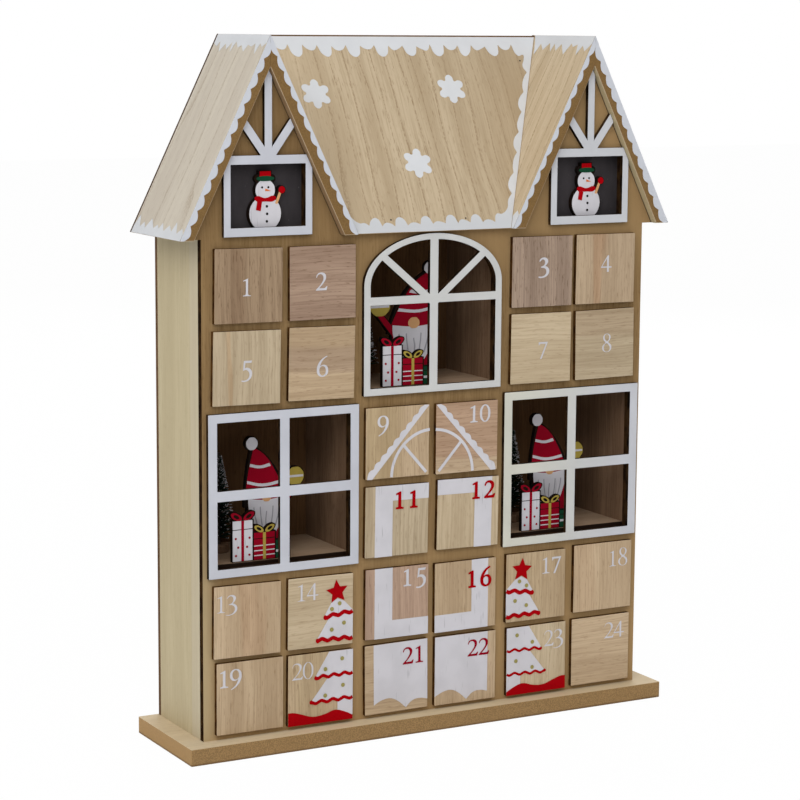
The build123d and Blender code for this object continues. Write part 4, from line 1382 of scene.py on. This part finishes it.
# Half width of an upright ribbon, height of a level one and of a stripe, and radius of a dot
RIBBON_HALF, LEVEL_RIBBON, STRIPE, DOT = 0.9 * MM, 1.4 * MM, 0.6 * MM, 0.7 * MM
# Dots on a white box: side, share of its half width and of the height of its lid
DOTS = [
    (side, share, rise) for side in (-1, 1) for share, rise in ((0.68, 0.2), (0.45, 0.45), (0.7, 0.72))
]


class CALENDAR_OT_gifts(Operator):
    """Paint the wrapped boxes that stand in the rooms"""

    bl_idname = "calendar.gifts"
    bl_label = "Gifts"

    def execute(self, context):
        model = painted("boxes", Matrix(), [layer for row in BOXES for layer in self.box(*row)])
        for room in ROOMS:
            node = f"{room}_room_gifts"
            dress(node, "cutout_board")
            place = Matrix.Translation(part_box(node)[0]) @ FACE_FRONT
            seat(copied(model, f"{room}_gift_paint", place), "house", "painted_gifts")
        discard(model)
        return {"FINISHED"}

    def box(self, centre, width, height, bow_share, wrap, ribbon):
        """One wrapped box with its ribbon, and a bow or a level band."""
        rim, tall, bow = BOX_RIM, height * BOXES_TALL, bow_share * BOXES_TALL
        x, half, top = (centre + 0.01) * BOXES_WIDE, width * BOXES_WIDE / 2 - rim, tall - rim
        lid = top - 0.2 * tall

        def band(ink, level, low, high):
            return ink, level, bar(x - half, low, x + half, high)

        layers = [band(wrap, 0, rim, lid - rim), band(wrap, 0, lid, top)]
        layers.append((ribbon, 1, bar(x - RIBBON_HALF, rim, x + RIBBON_HALF, top)))
        if wrap == "white":
            layers += [
                (ribbon, 1, disc(x + side * half * share, lid * rise, DOT)) for side, share, rise in DOTS
            ]
        elif wrap == "crimson":
            stripes = [lid * share for share in (0.2, 0.42, 0.64)]
            layers += [band("white", 0.8, low, low + STRIPE) for low in stripes]
        if not bow:
            return layers + [band(ribbon, 1.2, lid * 0.45, lid * 0.45 + LEVEL_RIBBON)]
        for lean in (-1, 1):
            turn = Matrix.Rotation(math.radians(30) * lean, 2)
            middle = Vector((x + lean * bow, tall + bow / 2))
            long, short = bow * 1.1 - rim, bow * 0.6 - rim
            rings = [disc(0, 0, reach * long, reach * short) for reach in (1.0, 0.52)]
            loops = [[tuple(middle + turn @ Vector(point)) for point in ring] for ring in rings]
            layers.append((ribbon, 1.1 + 0.1 * lean, *loops))
        return layers


# Height of a tree's bare trunk, radius of its tip, and turn of each tree against the one before
TRUNK, TIP, TREE_TURN = 9 * MM, 2 * MM, 1.3
# Radius, height and rounding of a tree's foot, and radius of its wire
TREE_FOOT, WIRE = (6 * MM, 5 * MM, 0.8 * MM), 1.2 * MM
# Windings of a tree: rise of the start, share of the radius, tilt and turn of its strands in degrees
WINDINGS = ((0.0, 1.0, 6, 137.5), (1 * MM, 0.93, 26, 141.3))
# How far the ends of the strands stray
STRAY = 0.7 * MM


class CALENDAR_OT_trees(Operator):
    """Wind the bottle-brush trees"""

    bl_idname = "calendar.trees"
    bl_label = "Trees"

    def execute(self, context):
        model = self.brush_tree()
        for i, room in enumerate(ROOMS):
            node = f"{room}_room_tree"
            low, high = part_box(node)
            turn = Matrix.Rotation(i * TREE_TURN, 4, "Z")
            middle = Matrix.Translation(((low.x + high.x) / 2, (low.y + high.y) / 2, low.z))
            seat(copied(model, f"{room}_brush_tree", middle @ turn), "house", "bristle", node)
        discard(model)
        return {"FINISHED"}

    def brush_tree(self):
        """Two windings of strands on a wire that stands in a round foot."""
        low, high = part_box("left_room_tree")
        tall, radius = high.z - low.z, (high.y - low.y) / 2
        parts = [
            self.winding(TRUNK + start, tall - TRUNK - (1 + i) * TIP, radius * share, tilt, turn, i)
            for i, (start, share, tilt, turn) in enumerate(WINDINGS)
        ]
        wide, height, rounding = TREE_FOOT
        foot = primitive(
            "cylinder", finish_named("inner_upright"), vertices=20, radius=wide, depth=height,
            location=(0, 0, height / 2),
        )
        apply_modifier(foot, "BEVEL", width=rounding, segments=3, limit_method="ANGLE")
        wire = primitive(
            "cylinder", finish_named("nail_steel"), vertices=6, radius=WIRE, depth=tall - height,
            location=(0, 0, (tall + height) / 2),
        )
        return join("brush_tree", [*parts, foot, wire])

    def winding(self, start, rise, radius, tilt, turn, seed):
        """One spiral of strands that shorten towards the top."""
        thick, count = sizes().strand, sizes().strand_count
        strand = primitive(
            "cone", finish_named("bristles"), vertices=3, radius1=thick, radius2=thick * 0.4,
            depth=radius, end_fill_type="NGON",
        )
        attribute = strand.data.attributes.new("tip", "FLOAT", "POINT")
        for vertex, value in zip(strand.data.vertices, attribute.data):
            value.value = vertex.co.z / radius + 0.5
        lean = Matrix.Rotation(math.pi / 2 - math.radians(tilt), 4, "Y")
        strand.data.transform(
            Matrix.Translation((0, 0, start)) @ lean @ Matrix.Translation((0, 0, radius / 2))
        )
        shrink = (TIP / radius) ** (1 / count)
        step = rise * (1 - shrink) / (1 - shrink**count)
        guide = linked("guide", None)
        guide.matrix_world = (
            Matrix.Translation((0, 0, start * (1 - shrink) + step))
            @ Matrix.Rotation(math.radians(turn), 4, "Z") @ Matrix.Scale(shrink, 4)
        )
        bpy.context.view_layer.update()
        apply_modifier(
            strand, "ARRAY", count=count, use_relative_offset=False, use_object_offset=True,
            offset_object=guide,
        )
        discard(guide)
        on_mesh(strand, (bpy.ops.transform.vertex_random, {"offset": STRAY, "seed": seed}))
        return strand


# Thickness of a tray's boards, and how far it stands in from the edges of the face
TRAY_WALL, TRAY_LIP = 2.5 * MM, 1.8 * MM


class CALENDAR_OT_drawers(Operator):
    """Build the 24 numbered drawers"""

    bl_idname = "calendar.drawers"
    bl_label = "Drawers"

    def execute(self, context):
        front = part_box("front_panel")[0].y
        low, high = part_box("drawer_01")
        start = Matrix.Translation(-low)
        board = face_model(Vector(), Vector((high.x - low.x, front - low.y, high.z - low.z)))
        digits = {(digit, weight): digit_model(digit, weight) for weight in WEIGHTS for digit in DIGITS}
        tray = self.tray(front, low, high)
        for number in range(1, len(DRAWERS) + 1):
            node = f"drawer_{number:02d}"
            low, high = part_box(node)
            face = drawer_face(number, board, digits, low, Vector((high.x, front, high.z)))
            boards = copied(tray, f"tray_{number:02d}", Matrix.Translation(low) @ start)
            seat(join(f"numbered_{node}", [face, boards]), node, "drawer_board", node)
        discard(board, tray, *digits.values())
        return {"FINISHED"}

    def tray(self, front, low, high):
        """Five thin boards behind the first face: bottom, sides, front and back."""
        wall, rounding, finish = TRAY_WALL, sizes().edge * 0.5, finish_named("drawer_tray")
        x0, x1, z0, z1 = low.x + TRAY_LIP, high.x - TRAY_LIP, low.z + TRAY_LIP, high.z - TRAY_LIP
        floor = z0 + wall
        boards = [
            ((x0, front, z0), (x1, high.y, floor)),
            ((x0, front, floor), (x0 + wall, high.y, z1)),
            ((x1 - wall, front, floor), (x1, high.y, z1)),
            ((x0 + wall, front, floor), (x1 - wall, front + wall, z1)),
            ((x0 + wall, high.y - wall, floor), (x1 - wall, high.y, z1)),
        ]
        return join("tray", [rounded_board(start, end, rounding, finish) for start, end in boards])


# Place, width and power of the lamps, and the point that they light
LAMPS = {
    "key": ((-1.1, -1.15, 1.55), 1.5, 27.0),
    "fill": ((0.5, -1.5, 1.5), 1.4, 6.0),
    "rear": ((1.1, 1.5, 1.1), 1.4, 16.0),
}
LAMP_AIM = (0, 0, 0.2)
# Strength of the surroundings as light, and as seen
WORLD_LIGHT, WORLD_SEEN = 0.38, 1.0
# Paper floor: its size, depth below the base, tone and the share of it that glows white where it is seen
FLOOR_SIZE, FLOOR_DROP, FLOOR_TONE, FLOOR_GLOW = 12, 0.2 * MM, 0.95, 0.98
# Place of the camera, its turn, drop and roll in degrees, and its sensor and lens in millimetres
CAMERA_PLACE, CAMERA_TURNS = (-0.71406, -1.2917, 0.42331), (28.731, 8.693, 0.381)
SENSOR, LENS = 36.0, 110.18


class CALENDAR_OT_stage(Operator):
    """Set up the floor, the soft light and the camera"""

    bl_idname = "calendar.stage"
    bl_label = "Stage"

    def execute(self, context):
        scene = context.scene
        scene.view_settings.view_transform = "Standard"
        self.floor()
        self.world(scene)
        for name, (place, wide, watts) in LAMPS.items():
            self.lamp(name, place, wide, watts)
        self.camera(scene)
        return {"FINISHED"}

    def seen(self, tree):
        """One for rays that the camera sees, straight, by gloss or through glass, zero for light."""
        path = tree.nodes.new("ShaderNodeLightPath").outputs
        factor = path["Is Camera Ray"]
        for kind in ("Is Glossy Ray", "Is Transmission Ray"):
            either = tree.nodes.new("ShaderNodeMath")
            either.operation = "MAXIMUM"
            tree.links.new(factor, either.inputs[0])
            tree.links.new(path[kind], either.inputs[1])
            factor = either.outputs[0]
        return factor

    def floor(self):
        finish = Finish("floor_paper", 0.9)
        finish.shader.inputs["Base Color"].default_value = (FLOOR_TONE, FLOOR_TONE, FLOOR_TONE, 1)
        glow = finish.add("ShaderNodeEmission", {"Color": (1, 1, 1, 1), "Strength": 1.0}).outputs[0]
        share = finish.math("MULTIPLY", self.seen(finish.tree), FLOOR_GLOW)
        paper = {0: share, 1: finish.shader.outputs[0], 2: glow}
        paper = finish.add("ShaderNodeMixShader", paper).outputs[0]
        finish.tree.links.new(paper, finish.tree.nodes["Material Output"].inputs["Surface"])
        floor = primitive("plane", finish.material, size=FLOOR_SIZE, location=(0, 0, -FLOOR_DROP))
        floor.name = "floor"

    def world(self, scene):
        world = scene.world = bpy.data.worlds.new("studio")
        world.use_nodes = True
        tree = world.node_tree
        background = tree.nodes["Background"].inputs
        background["Color"].default_value = (1, 1, 1, 1)
        level = tree.nodes.new("ShaderNodeMapRange")
        level.inputs["To Min"].default_value = WORLD_LIGHT
        level.inputs["To Max"].default_value = WORLD_SEEN
        tree.links.new(self.seen(tree), level.inputs["Value"])
        tree.links.new(level.outputs[0], background["Strength"])

    def lamp(self, name, place, wide, watts):
        light = bpy.data.lights.new(name, "AREA")
        light.shape = "SQUARE"
        light.size = wide
        light.energy = watts
        lamp = linked(name, light)
        lamp.location = place
        aim = Vector(LAMP_AIM) - Vector(place)
        lamp.rotation_euler = aim.to_track_quat("-Z", "Y").to_euler()

    def camera(self, scene):
        lens = bpy.data.cameras.new("camera")
        lens.sensor_width = SENSOR
        lens.lens = LENS
        camera = linked("camera", lens)
        turn, drop, roll = (math.radians(angle) for angle in CAMERA_TURNS)
        level = math.cos(drop)
        ahead = Vector((math.sin(turn) * level, math.cos(turn) * level, -math.sin(drop)))
        right = ahead.cross(Vector((0, 0, 1))).normalized()
        up = right.cross(ahead)
        across = math.cos(roll) * right + math.sin(roll) * up
        upright = math.cos(roll) * up - math.sin(roll) * right
        camera.matrix_world = laid(across, upright, -ahead, CAMERA_PLACE)
        scene.camera = camera


CLASSES = (
    CalendarSizes,
    CalendarColours,
    CALENDAR_OT_carcass,
    CALENDAR_OT_windows,
    CALENDAR_OT_gables,
    CALENDAR_OT_main_roof,
    CALENDAR_OT_snowmen,
    CALENDAR_OT_gnomes,
    CALENDAR_OT_gifts,
    CALENDAR_OT_trees,
    CALENDAR_OT_drawers,
    CALENDAR_OT_stage,
)


class CALENDAR_PT_panel(Panel):
    """Steps and settings of the advent calendar"""

    bl_idname = "CALENDAR_PT_panel"
    bl_label = "Advent Calendar"
    bl_space_type = "VIEW_3D"
    bl_region_type = "UI"
    bl_category = "Calendar"

    def draw(self, context):
        for step in CLASSES[2:]:
            self.layout.operator(step.bl_idname)
        for group in (context.scene.calendar_sizes, context.scene.calendar_colours):
            for name in group.__annotations__:
                self.layout.prop(group, name)


def register():
    for kind in (*CLASSES, CALENDAR_PT_panel):
        bpy.utils.register_class(kind)
    bpy.types.Scene.calendar_sizes = PointerProperty(type=CalendarSizes)
    bpy.types.Scene.calendar_colours = PointerProperty(type=CalendarColours)


def unregister():
    del bpy.types.Scene.calendar_sizes
    del bpy.types.Scene.calendar_colours
    for kind in reversed((*CLASSES, CALENDAR_PT_panel)):
        bpy.utils.unregister_class(kind)


def main():
    register()
    bpy.ops.calendar.stage()
    bpy.ops.calendar.carcass()
    bpy.ops.calendar.windows()
    bpy.ops.calendar.gables()
    bpy.ops.calendar.main_roof()
    bpy.ops.calendar.snowmen()
    bpy.ops.calendar.gnomes()
    bpy.ops.calendar.gifts()
    bpy.ops.calendar.trees()
    bpy.ops.calendar.drawers()


if __name__ == "__main__":
    main()
